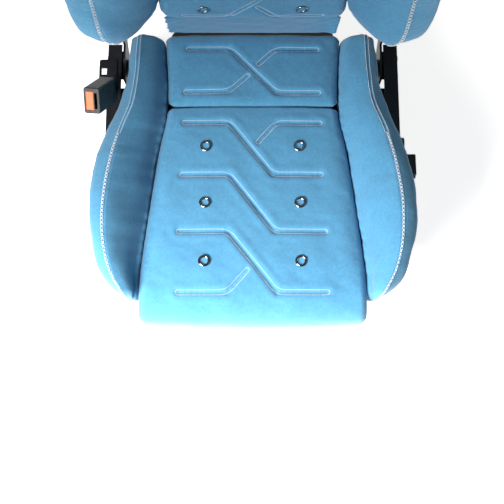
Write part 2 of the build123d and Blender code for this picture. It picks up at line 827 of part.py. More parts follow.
def along_buckle(shape):
    """Takes a shape from the buckle's frame (z along the buckle from the bend) to its place."""
    return along_strap(Pos(0, 0, strap_reach) * Rot(0, -buckle_out, 0) * shape)


def buckle_bracket():
    """Slotted foot plate on the side frame's flange with an upright ear for the strap's bolt."""
    slope = -math.degrees(math.atan(frame_slope))
    foot = box(-30.0, 0.0, -20.0, 52.0, 0, strap_sheet)
    foot = fillet(foot.edges().filter_by(Axis.Z), 4.0)
    slot = box(-26.0, -17.0, 24.0, 36.0, -1, strap_sheet + 1)
    foot = Pos(anchor_x + strap_sheet, anchor_y, frame_top(anchor_y)) * Rot(slope, 0, 0) * (foot - slot)
    ear = box(anchor_x, anchor_x + strap_sheet, anchor_y - 11, anchor_y + 11, anchor_z - anchor_rise + 2.0,
              anchor_z + 10)
    pin = rod_x(anchor_x - strap_gap - strap_sheet - 3.0, anchor_x, anchor_y, anchor_z, 5.0)
    return foot + ear + pin


def anchor_bolt():
    """Head of the shoulder bolt that the strap turns on."""
    x = anchor_x - strap_gap - strap_sheet - 3.0 - 2.5
    return hexagon(x, anchor_y, anchor_z, 13.0, 5.0)


def buckle_strap():
    """Steel strap from the bolt up into the buckle, bent outboard."""
    half = strap_width / 2
    low = box(-strap_sheet, 0, -half, half, 0, strap_reach) + rod_x(-strap_sheet, 0, 0, 0, half)
    low -= rod_x(-strap_sheet - 1, 1, 0, 0, 5.0 + running_gap)
    high = box(-strap_sheet, 0, -half, half, -0.6, 26.0)
    return along_strap(low) + along_buckle(high)


def buckle_block(wall, low, high):
    """The buckle's rounded envelope drawn in by a wall."""
    width, thickness = buckle_width - 2 * wall, buckle_thickness - 2 * wall
    block = Pos(-strap_sheet / 2, 0, (low + high) / 2) * Box(thickness, width, high - low)
    return fillet(block.edges().filter_by(Axis.Z), 4.0 - wall)


buckle_low = 8.0
buckle_high = buckle_low + buckle_length
button_depth = 16.0
button_half = 15.5                       # half of the button's length across the buckle
button_side = 1.5                        # the button's near side, outboard of the buckle's middle


def button_space(clearance):
    """The well that the button slides in, open at the buckle's top."""
    x0 = -strap_sheet / 2 - buckle_thickness / 2 + buckle_wall + 1.5
    return box(x0 - clearance, button_side - clearance * -1.0, -button_half - clearance, button_half + clearance,
               buckle_high - button_depth - button_travel - 2.0, buckle_high + 1)


def tongue_space():
    """The slot that the belt's tongue goes into, inboard of the button."""
    x0 = button_side + 1.2
    return box(x0, x0 + tongue_slot - 1.0, -13.0, 13.0, buckle_high - 34.0, buckle_high + 1)


def buckle_solid():
    """The housing before it is parted: a hollow case with the button's well and the tongue's slot."""
    case = buckle_block(0.0, buckle_low, buckle_high)
    case = fillet(case.edges().group_by(Axis.Z)[-1], 2.0)
    case -= buckle_block(buckle_wall, buckle_low + buckle_wall, buckle_high - button_depth - button_travel - 4)
    case -= button_space(0.25)
    case -= tongue_space()
    case -= box(-strap_sheet - 0.2, 0.2, -strap_width / 2 - 0.2, strap_width / 2 + 0.2, buckle_low - 1,
                buckle_low + buckle_wall + 1)
    return case


def buckle_halves():
    """Outboard and inboard shells, parted along the strap's plane."""
    case = buckle_solid()
    part = -strap_sheet / 2 + 5.0
    outboard = case & box(-60, part - 0.05, -60, 60, -10, 120)
    inboard = case & box(part + 0.05, 60, -60, 60, -10, 120)
    return along_buckle(outboard), along_buckle(inboard)


def buckle_button():
    """Push button that fills the buckle's well."""
    x0 = -strap_sheet / 2 - buckle_thickness / 2 + buckle_wall + 1.5
    button = box(x0, button_side, -button_half, button_half, buckle_high - button_depth, buckle_high)
    return along_buckle(fillet(button.edges().group_by(Axis.Z)[-1], 1.2))


def button_springs():
    """Two coil springs under the button, as their outer tubes."""
    low, high = buckle_high - button_depth - button_travel - 1.6, buckle_high - button_depth - 0.2
    springs = []
    for y in (-8.0, 8.0):
        coil = rod_z(-6.0, y, low, high, 2.4) - rod_z(-6.0, y, low - 1, high + 1, 1.6)
        springs.append(along_buckle(coil))
    return springs


def buckle_latch():
    """Steel latch plate inside the case, on the strap."""
    return along_buckle(box(-strap_sheet - 3.2, -strap_sheet - 0.2, -12, 12, 14.0, 42.0))


def make_parts():
    """Builds every node."""
    keep_pair("rail_lower", rail_lower())
    keep("rail_feet", *rail_feet())
    keep("rail_end_stops", *rail_stops())
    keep_pair("rail_upper", rail_upper())
    keep("rail_balls", *rail_balls())
    keep_pair("side_frame", side_frame())
    keep("front_cross_tube", cross_tube(web_x, front_tube_y))
    keep("rear_cross_tube", cross_tube(bracket_inner, rear_tube_y))
    keep("seat_pan", seat_pan())
    keep("frame_bolts", *frame_bolts(), *recliner_bolts())
    keep("cushion_core", cushion_core())
    keep("cushion_front_panel", cushion_front_panel())
    keep("cushion_rear_panel", cushion_rear_panel())
    keep_pair("cushion_bolster", cushion_bolster())
    keep("cushion_eyelets", *cushion_eyelets())
    keep_pair("recliner_bracket", recliner_bracket())
    keep("recliner_housings", recliner_housing(), mirrored(recliner_housing()))
    keep("recliner_discs", recliner_disc(), mirrored(recliner_disc()))
    keep_pair("hinge_cover", hinge_cover())
    keep("sync_shaft", sync_shaft())
    keep("lever_shaft", lever_shaft())
    keep("recline_lever", recline_lever())
    keep("lever_grip", lever_grip())
    keep("lever_cap", lever_cap())
    keep("release_cable", release_cable())
    keep("release_bar", release_bar())
    keep("bar_pivot_blocks", *bar_pivots())
    keep("bar_pivot_pins", *bar_pins())
    keep("lock_plates", *lock_plates())
    keep("lumbar_pad", lean(centre_pad(pad_bottom, pad_split - seam_gap / 2, back_pad_half)))
    keep("upper_pad", lean(centre_pad(pad_split + seam_gap / 2, slot_panel_bottom, back_pad_half)))
    keep_pair("back_bolster", lean(back_bolster()))
    keep_pair("shoulder_bolster", lean(shoulder_bolster()))
    keep("head_pad", lean(head_pad()))
    keep("harness_panel", lean(harness_panel()))
    keep("harness_slot_trims", *[lean(trim) for trim in slot_trims()])
    keep("back_shell", lean(back_shell()))
    keep_pair("back_side_member", lean(side_member()))
    keep("back_cross_tubes", lean(back_tube(lower_tube_height)), lean(back_tube(member_top - 14)))
    keep("back_spring_wires", *[lean(wire) for wire in back_springs()])
    keep("head_frame", lean(head_frame()))
    keep("tuck_flap", tuck_flap())
    keep("back_eyelets", *[lean(ring) for ring in back_eyelets()])
    keep("buckle_bracket", buckle_bracket())
    keep("buckle_bolt", anchor_bolt())
    keep("buckle_strap", buckle_strap())
    outboard, inboard = buckle_halves()
    keep("buckle_shell_outboard", outboard)
    keep("buckle_shell_inboard", inboard)
    keep("buckle_button", buckle_button())
    keep("button_springs", *button_springs())
    keep("buckle_latch", buckle_latch())


make_parts()
os.makedirs("parts", exist_ok=True)
for name, shape in PARTS.items():
    export_step(shape, f"parts/{name}.step")
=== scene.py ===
import json
import math

import bmesh
import bpy
import numpy as np
from bpy.props import FloatProperty, FloatVectorProperty, PointerProperty
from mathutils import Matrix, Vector


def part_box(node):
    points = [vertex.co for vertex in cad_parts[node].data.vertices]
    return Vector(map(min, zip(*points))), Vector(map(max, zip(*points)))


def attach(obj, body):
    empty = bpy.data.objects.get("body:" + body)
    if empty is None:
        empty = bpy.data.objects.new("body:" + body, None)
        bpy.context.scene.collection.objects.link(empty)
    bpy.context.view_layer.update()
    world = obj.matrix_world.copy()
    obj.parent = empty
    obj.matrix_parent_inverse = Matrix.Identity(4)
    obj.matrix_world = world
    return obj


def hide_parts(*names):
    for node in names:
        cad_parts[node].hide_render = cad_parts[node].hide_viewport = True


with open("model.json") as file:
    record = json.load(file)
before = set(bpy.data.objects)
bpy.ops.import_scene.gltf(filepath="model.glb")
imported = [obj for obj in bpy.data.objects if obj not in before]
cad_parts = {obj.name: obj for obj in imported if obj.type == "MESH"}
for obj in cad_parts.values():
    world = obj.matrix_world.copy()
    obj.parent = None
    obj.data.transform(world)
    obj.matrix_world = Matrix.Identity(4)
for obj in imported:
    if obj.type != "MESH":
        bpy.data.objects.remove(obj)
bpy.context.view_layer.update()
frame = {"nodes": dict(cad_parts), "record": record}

bl_info = {
    "name": "Racing seat upholstery",
    "version": (1, 0, 0),
    "blender": (4, 5, 0),
    "location": "View3D > Sidebar > Racing Seat",
    "description": "Builds the covers, stitching, eyelets and finishes of a reclining racing seat",
    "category": "Object",
}

MM = 0.001


def node_box(name):
    """A CAD node's low and high corners in millimetres."""
    low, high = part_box(name)
    return np.array(low) / MM, np.array(high) / MM


# ---- sizes in millimetres, in the frame's axes --------------------------------------------------------
PANEL_LOW, PANEL_HIGH = node_box("cushion_front_panel")
REAR_LOW, REAR_HIGH = node_box("cushion_rear_panel")
BOLSTER_HIGH = node_box("cushion_bolster_left")[1]
FRONT_Y = PANEL_LOW[1]
REAR_Y = REAR_HIGH[1]
SEAM_Y = PANEL_HIGH[1]
SKIRT_Z = PANEL_LOW[2]
TOP_SLOPE = 0.182                    # fall of the cushion towards the rear
TOP_MIDDLE = REAR_HIGH[2] + TOP_SLOPE * (REAR_LOW[1] + 5.0)
FLANGE_SLOPE = 0.10
FLANGE_MIDDLE = node_box("side_frame_left")[1][2] + FLANGE_SLOPE * node_box("side_frame_left")[0][1]
LEAN = math.radians(20.0)            # backrest's lean at rest
BACK_Y, BACK_Z = 222.0, 256.0        # foot of the backrest's own plane
PAD_BACK = 28.0
PAD_FRONT = -14.0
LUMBAR = 28.0
PAD_LOW = 52.0
PAD_SPLIT = 330.0
PAD_TOP = 596.0
SLOT_TOP = 652.0
BACK_TOP = 792.0
PAD_HALF = 146.0
HEAD_HALF = 140.0

# half width of the centre panels and the shape of the side bolsters, from the rear to the front
CENTRE_Y = [238.0, 188.0, 124.0, 95.0, 26.0, -77.0, -176.0, -262.0]
CENTRE_HALF = [149.0, 144.5, 141.0, 141.5, 153.0, 166.0, 176.5, 180.0]
OUTER_Y = [236.0, 199.0, 141.0, 91.0, 43.0, -20.0, -65.0, -113.0, -160.0, -189.0, -207.0, -223.0]
OUTER_X = [204.0, 206.0, 210.0, 221.0, 237.0, 252.0, 256.0, 254.0, 244.0, 232.0, 218.0, 199.0]
RIDGE_Y = [236.0, 150.0, 97.0, 52.0, 14.0, -43.0, -94.0, -139.0, -185.0, -223.0]
RIDGE_X = [190.0, 191.0, 197.0, 211.0, 220.0, 228.0, 231.0, 228.0, 216.0, 195.0]
RISE_Y = [236.0, 180.0, 105.0, 40.0, -30.0, -100.0, -150.0, -195.0, -223.0]
RISE = [18.0, 24.0, 34.0, 46.0, 57.0, 57.0, 49.0, 34.0, 18.0]

# side bolsters of the backrest, by height along the lean
BACK_H = [26.0, 45.0, 80.0, 150.0, 260.0, 350.0, 428.0]
BACK_INNER = [176.0, 160.0, 147.0, 147.0, 147.0, 147.0, 147.0]
BACK_RIDGE = [206.0, 212.0, 224.0, 232.0, 232.0, 226.0, 218.0]
BACK_OUTER = [232.0, 250.0, 266.0, 279.0, 279.0, 268.0, 258.0]
BACK_RISE = [48.0, 64.0, 76.0, 80.0, 76.0, 60.0, 45.0]

EYELET_X = 76.0                      # the eyelets stand this far from the middle
CUSHION_EYELETS = [30.0, -66.5, -163.0]
BACK_EYELETS = [300.0, 200.0, 88.0]
FLAP_HALF = 141.0
TROUGH_DEPTH, TROUGH_HALF = 2.6, 3.4  # a channel's trough, between its stitch rows
SWELL_RISE, SWELL_PLACE = 1.1, 10.0   # the fuller cover beside a channel
STITCH_SHARE = 0.60                  # part of each pitch that is thread
CHANNEL_HALF = 4.0                   # a channel's stitch rows stand this far from its middle
# middle lines of the sewn channels as (x, y), rear to front, left to right
FRONT_CHANNELS = [
    [(-112, 73), (-38, 73), (32, -18), (110, -18)],
    [(-114, -18), (-38, -18), (35, -114), (114, -114)],
    [(-117, -114), (-39, -114), (38, -212), (116, -212)],
    [(110, 72), (38, 72), (9, 38)],
    [(-117, -212), (-40, -212), (-9, -177)],
]
REAR_CHANNELS = [
    [(-108, 207), (-38, 207), (39, 126), (109, 126)],
    [(108, 206), (38, 206), (9, 178)],
    [(-111, 128), (-40, 128), (-9, 157)],
]
# the same on the backrest as (x, height along the lean)
LUMBAR_CHANNELS = [
    [(-108, 65), (-37, 65), (37, 142), (108, 142)],
    [(-108, 142), (-37, 142), (37, 232), (108, 232)],
    [(108, 65), (37, 65), (8, 92)],
    [(-108, 232), (-37, 232), (-8, 270), (37, 305), (108, 305)],
    [(-108, 305), (-60, 305)],
]
UPPER_CHANNELS = [
    [(-108, 362), (-37, 362), (37, 452), (108, 452)],
    [(-108, 452), (-37, 452), (37, 548), (108, 548)],
    [(108, 362), (37, 362), (8, 394)],
    [(-108, 548), (-37, 548), (-8, 518)],
]


# ---- shader helpers -----------------------------------------------------------------------------------
class Link:
    """A node socket with arithmetic: each operator adds one Math node."""

    def __init__(self, maker, socket):
        self.maker = maker
        self.socket = socket

    def math(self, operation, *values, clamp=False):
        made = self.maker.node("ShaderNodeMath", {"operation": operation, "use_clamp": clamp},
                               {index: value for index, value in enumerate(values)})
        return made["Value"]

    def __add__(self, other):
        return self.math("ADD", self, other)

    def __radd__(self, other):
        return self.math("ADD", other, self)

    def __sub__(self, other):
        return self.math("SUBTRACT", self, other)

    def __rsub__(self, other):
        return self.math("SUBTRACT", other, self)

    def __mul__(self, other):
        return self.math("MULTIPLY", self, other)

    def __rmul__(self, other):
        return self.math("MULTIPLY", other, self)

    def __pow__(self, other):
        return self.math("POWER", self, other)

    def band(self, low, high):
        """0 below low, 1 above high, a straight ramp between."""
        return self.math("MULTIPLY", self - low, 1.0 / (high - low), clamp=True)


class Made:
    """A node whose outputs are read by name as Links."""

    def __init__(self, maker, node):
        self.maker = maker
        self.node = node

    def __getitem__(self, name):
        return Link(self.maker, self.node.outputs[name])


class Shader:
    """A new material and the one way in which its nodes are added."""

    def __init__(self, name):
        self.material = bpy.data.materials.new(name)
        self.material.use_nodes = True
        self.tree = self.material.node_tree
        self.tree.nodes.clear()
        self.place = self.node("ShaderNodeTexCoord")["Object"]

    def node(self, kind, settings=None, inputs=None):
        """Adds a node of a kind, sets its properties, then its inputs' values or links."""
        node = self.tree.nodes.new(kind)
        for key, value in (settings or {}).items():
            if key == "stops":
                self.set_stops(node, value)
            else:
                setattr(node, key, value)
        for key, value in (inputs or {}).items():
            if isinstance(value, Link):
                self.tree.links.new(value.socket, node.inputs[key])
            else:
                node.inputs[key].default_value = value
        return Made(self, node)

    @staticmethod
    def set_stops(node, stops):
        ramp = node.color_ramp
        while len(ramp.elements) < len(stops):
            ramp.elements.new(0.5)
        for element, (position, colour) in zip(ramp.elements, stops):
            element.position = position
            element.color = (*colour, 1.0)

    def noise(self, scale, detail=3.0, roughness=0.5, distortion=0.0):
        """Noise over the object's own coordinates, scale per metre."""
        return self.node("ShaderNodeTexNoise", {"noise_dimensions": "3D"}, {
            "Vector": self.place, "Scale": scale, "Detail": detail, "Roughness": roughness,
            "Distortion": distortion})["Fac"]

    def mix(self, factor, first, second):
        """Colour mix by a factor."""
        made = self.node("ShaderNodeMix", {"data_type": "RGBA"}, {0: factor, 6: first, 7: second})
        return Link(self, made.node.outputs[2])

    def bump(self, height, distance, strength=1.0):
        return self.node("ShaderNodeBump", None, {
            "Height": height, "Distance": distance, "Strength": strength})["Normal"]

    def finish(self, **inputs):
        """Ends the tree in a Principled shader with these inputs."""
        named = {key.replace("_", " "): value for key, value in inputs.items()}
        shader = self.node("ShaderNodeBsdfPrincipled", None, named)
        self.node("ShaderNodeOutputMaterial", None, {"Surface": shader["BSDF"]})
        return self.material


def rgba(colour, gain=1.0):
    return (*[min(1.0, channel * gain) for channel in colour[:3]], 1.0)


# ---- materials ----------------------------------------------------------------------------------------
def suede(settings):
    """Brushed microfibre: a mottled nap at three sizes, soft sheen and a fine bump."""
    shader = Shader("suede")
    patches = shader.noise(34.0, 4.0, 0.6, 0.6)
    brushed = shader.noise(240.0, 5.0, 0.68, 0.8)
    nap = shader.noise(800.0, 3.0, 0.7)
    light = rgba(settings.suede_colour, 1.10)
    dark = rgba(settings.suede_colour, 0.80)
    broad = shader.mix((patches * 0.25 + brushed * 0.75).band(0.36, 0.64), dark, light)
    colour = shader.mix(nap.band(0.25, 0.75) * 0.35, broad, rgba(settings.suede_colour, 0.66))
    height = nap * 0.5 + brushed * 0.5
    return shader.finish(
        Base_Color=colour, Roughness=0.92, Sheen_Weight=settings.sheen, Sheen_Roughness=0.6,
        Sheen_Tint=rgba((0.86, 0.93, 1.0)), Specular_IOR_Level=0.15, Normal=shader.bump(height, 0.0006, 0.55))


def thread(settings):
    """Twisted polyester thread."""
    shader = Shader("thread")
    fibre = shader.noise(1400.0, 2.0, 0.6)
    colour = shader.mix(fibre.band(0.3, 0.7), rgba(settings.thread_colour, 0.86),
                        rgba(settings.thread_colour))
    return shader.finish(Base_Color=colour, Roughness=0.62, Sheen_Weight=0.2,
                         Normal=shader.bump(fibre, 0.0002, 0.5))


def foam():
    """Open-cell moulded foam."""
    shader = Shader("foam")
    cells = shader.noise(500.0, 3.0, 0.6)
    colour = shader.mix(cells, rgba((0.16, 0.145, 0.11)), rgba((0.28, 0.255, 0.20)))
    return shader.finish(Base_Color=colour, Roughness=0.95, Normal=shader.bump(cells, 0.001, 0.6))


def plating(name, colour, low, high):
    """Bright plated metal with faint polishing marks and smudges."""
    shader = Shader(name)
    smudge = shader.noise(60.0, 4.0, 0.6)
    fine = shader.noise(700.0, 2.0, 0.5)
    rough = smudge.band(0.35, 0.7) * (high - low) + low
    tint = shader.mix(smudge, rgba(colour, 0.9), rgba(colour))
    return shader.finish(Base_Color=tint, Metallic=1.0, Roughness=rough,
                         Normal=shader.bump(fine, 0.00005, 0.25))


def black_paint(settings):
    """Satin black paint with orange peel, dust and small rubbed spots."""
    shader = Shader("black_paint")
    peel = shader.noise(420.0, 2.0, 0.5)
    dust = shader.noise(35.0, 5.0, 0.65)
    rub = shader.noise(160.0, 4.0, 0.7, 0.5).band(0.70, 0.76)
    base = shader.mix(dust.band(0.4, 0.75) * 0.5, rgba(settings.paint_colour),
                      rgba(settings.paint_colour, 2.2))
    colour = shader.mix(rub * 0.6, base, rgba((0.22, 0.22, 0.23)))
    return shader.finish(Base_Color=colour, Roughness=dust * 0.25 + 0.30, Metallic=rub * 0.5,
                         Normal=shader.bump(peel, 0.00015, 0.35))


def moulded(name, colour, rough, grain, depth):
    """Moulded plastic with a spark-eroded grain and scuffs."""
    shader = Shader(name)
    texture = shader.node("ShaderNodeTexVoronoi", {"feature": "F1"}, {
        "Vector": shader.place, "Scale": grain})["Distance"]
    scuff = shader.noise(80.0, 5.0, 0.7, 0.6)
    tint = shader.mix(scuff.band(0.45, 0.8) * 0.5, rgba(colour), rgba(colour, 1.7))
    return shader.finish(Base_Color=tint, Roughness=scuff * 0.18 + rough,
                         Normal=shader.bump(texture, depth, 0.4))


def pale_floor(settings):
    """Plain seamless floor."""
    shader = Shader("pale_floor")
    tone = shader.noise(3.0, 2.0)
    colour = shader.mix(tone, rgba(settings.floor_colour), rgba(settings.floor_colour, 0.99))
    return shader.finish(Base_Color=colour, Roughness=0.9, Specular_IOR_Level=0.1,
                         Emission_Color=rgba((1.0, 1.0, 1.0)), Emission_Strength=settings.floor_glow)


MATERIALS = {}


def material(name):
    """One material by name, made when first asked for."""
    settings = bpy.context.scene.racing_seat_finishes
    makers = {
        "suede": lambda: suede(settings),
        "thread": lambda: thread(settings),
        "foam": foam,
        "chrome": lambda: plating("chrome", (0.40, 0.41, 0.43), 0.08, 0.22),
        "zinc_steel": lambda: plating("zinc_steel", (0.52, 0.53, 0.55), 0.28, 0.50),
        "black_steel": lambda: black_paint(settings),
        "black_plastic": lambda: moulded("black_plastic", (0.020, 0.020, 0.022), 0.42, 900.0, 0.0002),
        "orange_plastic": lambda: moulded("orange_plastic", settings.button_colour, 0.28, 1500.0, 0.00005),
    }
    if name not in MATERIALS:
        MATERIALS[name] = makers[name]()
    return MATERIALS[name]


# ---- curves and grids ---------------------------------------------------------------------------------
def hermite(place, places, values):
    """Smooth curve through (places, values), with slopes from their neighbours."""
    places, values = np.asarray(places, float), np.asarray(values, float)
    if places[0] > places[-1]:
        places, values = places[::-1], values[::-1]
    slopes = np.gradient(values, places)
    place = np.clip(place, places[0], places[-1])
    index = np.clip(np.searchsorted(places, place) - 1, 0, len(places) - 2)
    width = places[index + 1] - places[index]
    share = (place - places[index]) / width
    square, cube = share ** 2, share ** 3
    return ((2 * cube - 3 * square + 1) * values[index] + (cube - 2 * square + share) * width * slopes[index]
            + (3 * square - 2 * cube) * values[index + 1] + (cube - square) * width * slopes[index + 1])


def cubic_weights(fine, count, periodic):
    """Matrix that carries values at count evenly spaced places to the places fine, in 0..1, by cubics
    through each four neighbours."""
    span = count if periodic else count - 1
    place = np.asarray(fine, float) * span
    low = np.floor(place).astype(int)
    if not periodic:
        low = np.clip(low, 0, count - 2)
    share = place - low
    weights = [-0.5 * share + share ** 2 - 0.5 * share ** 3, 1 - 2.5 * share ** 2 + 1.5 * share ** 3,
               0.5 * share + 2 * share ** 2 - 1.5 * share ** 3, -0.5 * share ** 2 + 0.5 * share ** 3]
    matrix = np.zeros((len(place), count))
    rows = np.arange(len(place))
    for step, weight in enumerate(weights):
        index = low - 1 + step
        index = index % count if periodic else np.clip(index, 0, count - 1)
        np.add.at(matrix, (rows, index), weight)
    return matrix


def smooth_path(points, count):
    """count points evenly spaced along the cubic curve through the given (y, z) points."""
    points = np.asarray(points, float)
    dense = cubic_weights(np.linspace(0, 1, 60 * len(points)), len(points), False) @ points
    length = np.concatenate([[0], np.cumsum(np.linalg.norm(np.diff(dense, axis=0), axis=1))])
    even = np.linspace(0, length[-1], count)
    return np.stack([np.interp(even, length, dense[:, axis]) for axis in range(points.shape[1])],
                    axis=1), even


def ease(value):
    """Smooth step from 0 to 1."""
    value = np.clip(value, 0.0, 1.0)
    return value * value * (3 - 2 * value)


def make_object(name, vertices, faces, finish):
    """A mesh object at the origin from vertices in millimetres and an array of faces."""
    mesh = bpy.data.meshes.new(name)
    faces = np.asarray(faces, dtype=np.int32)
    corners = faces.shape[1]
    mesh.vertices.add(len(vertices))
    mesh.vertices.foreach_set("co", (np.asarray(vertices, float) * MM).astype(np.float32).ravel())
    mesh.loops.add(faces.size)
    mesh.loops.foreach_set("vertex_index", faces.ravel())
    mesh.polygons.add(len(faces))
    mesh.polygons.foreach_set("loop_start", np.arange(0, faces.size, corners, dtype=np.int32))
    mesh.polygons.foreach_set("use_smooth", np.ones(len(faces), dtype=bool))
    mesh.update(calc_edges=True)
    mesh.validate()
    piece = bpy.data.objects.new(name, mesh)
    bpy.context.scene.collection.objects.link(piece)
    if finish:
        mesh.materials.append(material(finish))
    return piece


def grid_faces(rows, columns, closed, flip):
    """Quads of a grid of rows and columns, joined round its columns if closed."""
    across = columns if closed else columns - 1
    row, column = np.meshgrid(np.arange(rows - 1), np.arange(across), indexing="ij")
    after = (column + 1) % columns
    quads = np.stack([row * columns + column, (row + 1) * columns + column,
                      (row + 1) * columns + after, row * columns + after], axis=-1).reshape(-1, 4)
    return quads[:, ::-1] if flip else quads


def grid_object(name, points, finish, closed=True, flip=False):
    """A grid of points (rows, columns, 3) as a mesh, with points that meet merged."""
    rows, columns = points.shape[:2]
    piece = make_object(name, points.reshape(-1, 3), grid_faces(rows, columns, closed, flip), finish)
    work = bmesh.new()
    work.from_mesh(piece.data)
    bmesh.ops.remove_doubles(work, verts=work.verts, dist=0.00005)
    bmesh.ops.dissolve_degenerate(work, edges=work.edges, dist=0.00001)
    work.to_mesh(piece.data)
    work.free()
    piece.data.polygons.foreach_set("use_smooth", np.ones(len(piece.data.polygons), dtype=bool))
    return piece


def grid_normals(points, flip):
    """Unit normals of a grid that is closed round its columns."""
    along = np.gradient(points, axis=0)
    around = np.roll(points, -1, axis=1) - np.roll(points, 1, axis=1)
    normal = np.cross(along, around)
    if flip:
        normal = -normal
    return normal / np.maximum(np.linalg.norm(normal, axis=-1, keepdims=True), 1e-9)


def line_field(x, y, lines):
    """Distance from each (x, y) to the nearest line, and the length along that line."""
    nearest = np.full(x.shape, 1e9)
    along = np.zeros(x.shape)
    for number, line in enumerate(lines):
        travelled = 317.0 * number
        for (x0, y0), (x1, y1) in zip(line[:-1], line[1:]):
            dx, dy = x1 - x0, y1 - y0
            length = math.hypot(dx, dy)
            share = np.clip(((x - x0) * dx + (y - y0) * dy) / length ** 2, 0, 1)
            distance = np.hypot(x - x0 - share * dx, y - y0 - share * dy)
            closer = distance < nearest
            nearest = np.where(closer, distance, nearest)
            along = np.where(closer, travelled + share * length, along)
            travelled += length
    return nearest, along


def rumple(x, y, seed, size):
    """Slow uneven swell of cloth: a few crossed waves of about the given size, from -1 to 1."""
    random = np.random.default_rng(seed)
    total = np.zeros(np.broadcast(x, y).shape)
    for _ in range(7):
        angle = random.uniform(0, 2 * math.pi)
        wave = 2 * math.pi / (size * random.uniform(0.6, 1.7))
        total = total + np.sin((x * math.cos(angle) + y * math.sin(angle)) * wave + random.uniform(0, 6.28))
    return total / 3.2


def inflate(points, pins, flip, pressure, cap, frames=20):
    """Fills a closed grid of cloth with air: pinned points stay, the rest swells by at most cap.
    Returns how far each point moved."""
    rows, columns = points.shape[:2]
    piece = make_object("cloth_trial", points.reshape(-1, 3), grid_faces(rows, columns, True, flip), None)
    group = piece.vertex_groups.new(name="sewn")
    hold = pins.ravel()
    for strength in np.unique(hold[hold > 0]):
        group.add(np.flatnonzero(hold == strength).tolist(), float(strength), "REPLACE")
    cloth = piece.modifiers.new("cloth", "CLOTH")
    cloth.settings.quality = 6
    cloth.settings.mass = 0.3
    cloth.settings.tension_stiffness = 12
    cloth.settings.compression_stiffness = 12
    cloth.settings.shear_stiffness = 4
    cloth.settings.bending_stiffness = 0.6
    cloth.settings.use_pressure = True
    cloth.settings.uniform_pressure_force = pressure
    cloth.settings.vertex_group_mass = "sewn"
    cloth.settings.effector_weights.gravity = 0.0
    cloth.collision_settings.use_collision = False
    scene = bpy.context.scene
    for number in range(1, frames + 1):
        scene.frame_set(number)
    result = piece.evaluated_get(bpy.context.evaluated_depsgraph_get()).to_mesh()
    moved = np.empty(len(result.vertices) * 3, dtype=np.float32)
    result.vertices.foreach_get("co", moved)
    shift = moved.reshape(points.shape) / MM - points
    length = np.linalg.norm(shift, axis=-1, keepdims=True)
    shift *= cap * np.tanh(length / cap) / np.maximum(length, 1e-6)
    scene.frame_set(1)
    bpy.data.objects.remove(piece, do_unlink=True)
    return shift


class Pad:
    """A padded piece over two parameters: s from its first row to its last, t once round its section."""

    def __init__(self, name, shape, rows, columns, pins, pressure=4.0, cap=6.0, flip=False, detail=None):
        self.name, self.flip = name, flip
        coarse_rows, coarse_columns = max(12, rows // 5), max(24, columns // 5)
        s, t = np.linspace(0, 1, coarse_rows), np.arange(coarse_columns) / coarse_columns
        coarse = shape(s[:, None], t[None, :])
        shift = inflate(coarse, pins(s[:, None], t[None, :], coarse), flip, pressure, cap)
        self.s, self.t = np.linspace(0, 1, rows), np.arange(columns) / columns
        carried = np.einsum("rs,sck->rck", cubic_weights(self.s, coarse_rows, False), shift)
        carried = np.einsum("ct,rtk->rck", cubic_weights(self.t, coarse_columns, True), carried)
        self.points = shape(self.s[:, None], self.t[None, :]) + carried
        if detail:
            offset = detail(self.s[:, None], self.t[None, :], self.points)
            self.points = self.points + grid_normals(self.points, flip) * offset[..., None]
        self.normals = grid_normals(self.points, flip)

    def build(self, body, fill, *nodes):
        """Makes the mesh object, ties it to its body and hides the CAD nodes that it stands for."""
        piece = grid_object(self.name, self.points, "suede", True, self.flip)
        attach(piece, body)
        if nodes:
            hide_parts(*nodes)
        return piece

    def at(self, s, t):
        """Points and normals of the finished surface at places (s, t)."""
        rows, columns = self.points.shape[:2]
        row = np.clip(np.asarray(s, float), 0, 1) * (rows - 1)
        column = (np.asarray(t, float) % 1.0) * columns
        i, j = np.minimum(row.astype(int), rows - 2), column.astype(int) % columns
        a, b, k = (row - i)[..., None], (column - np.floor(column))[..., None], (j + 1) % columns
        found = []
        for values in (self.points, self.normals):
            found.append((1 - a) * ((1 - b) * values[i, j] + b * values[i, k])
                         + a * ((1 - b) * values[i + 1, j] + b * values[i + 1, k]))
        return found[0], found[1] / np.maximum(np.linalg.norm(found[1], axis=-1, keepdims=True), 1e-9)


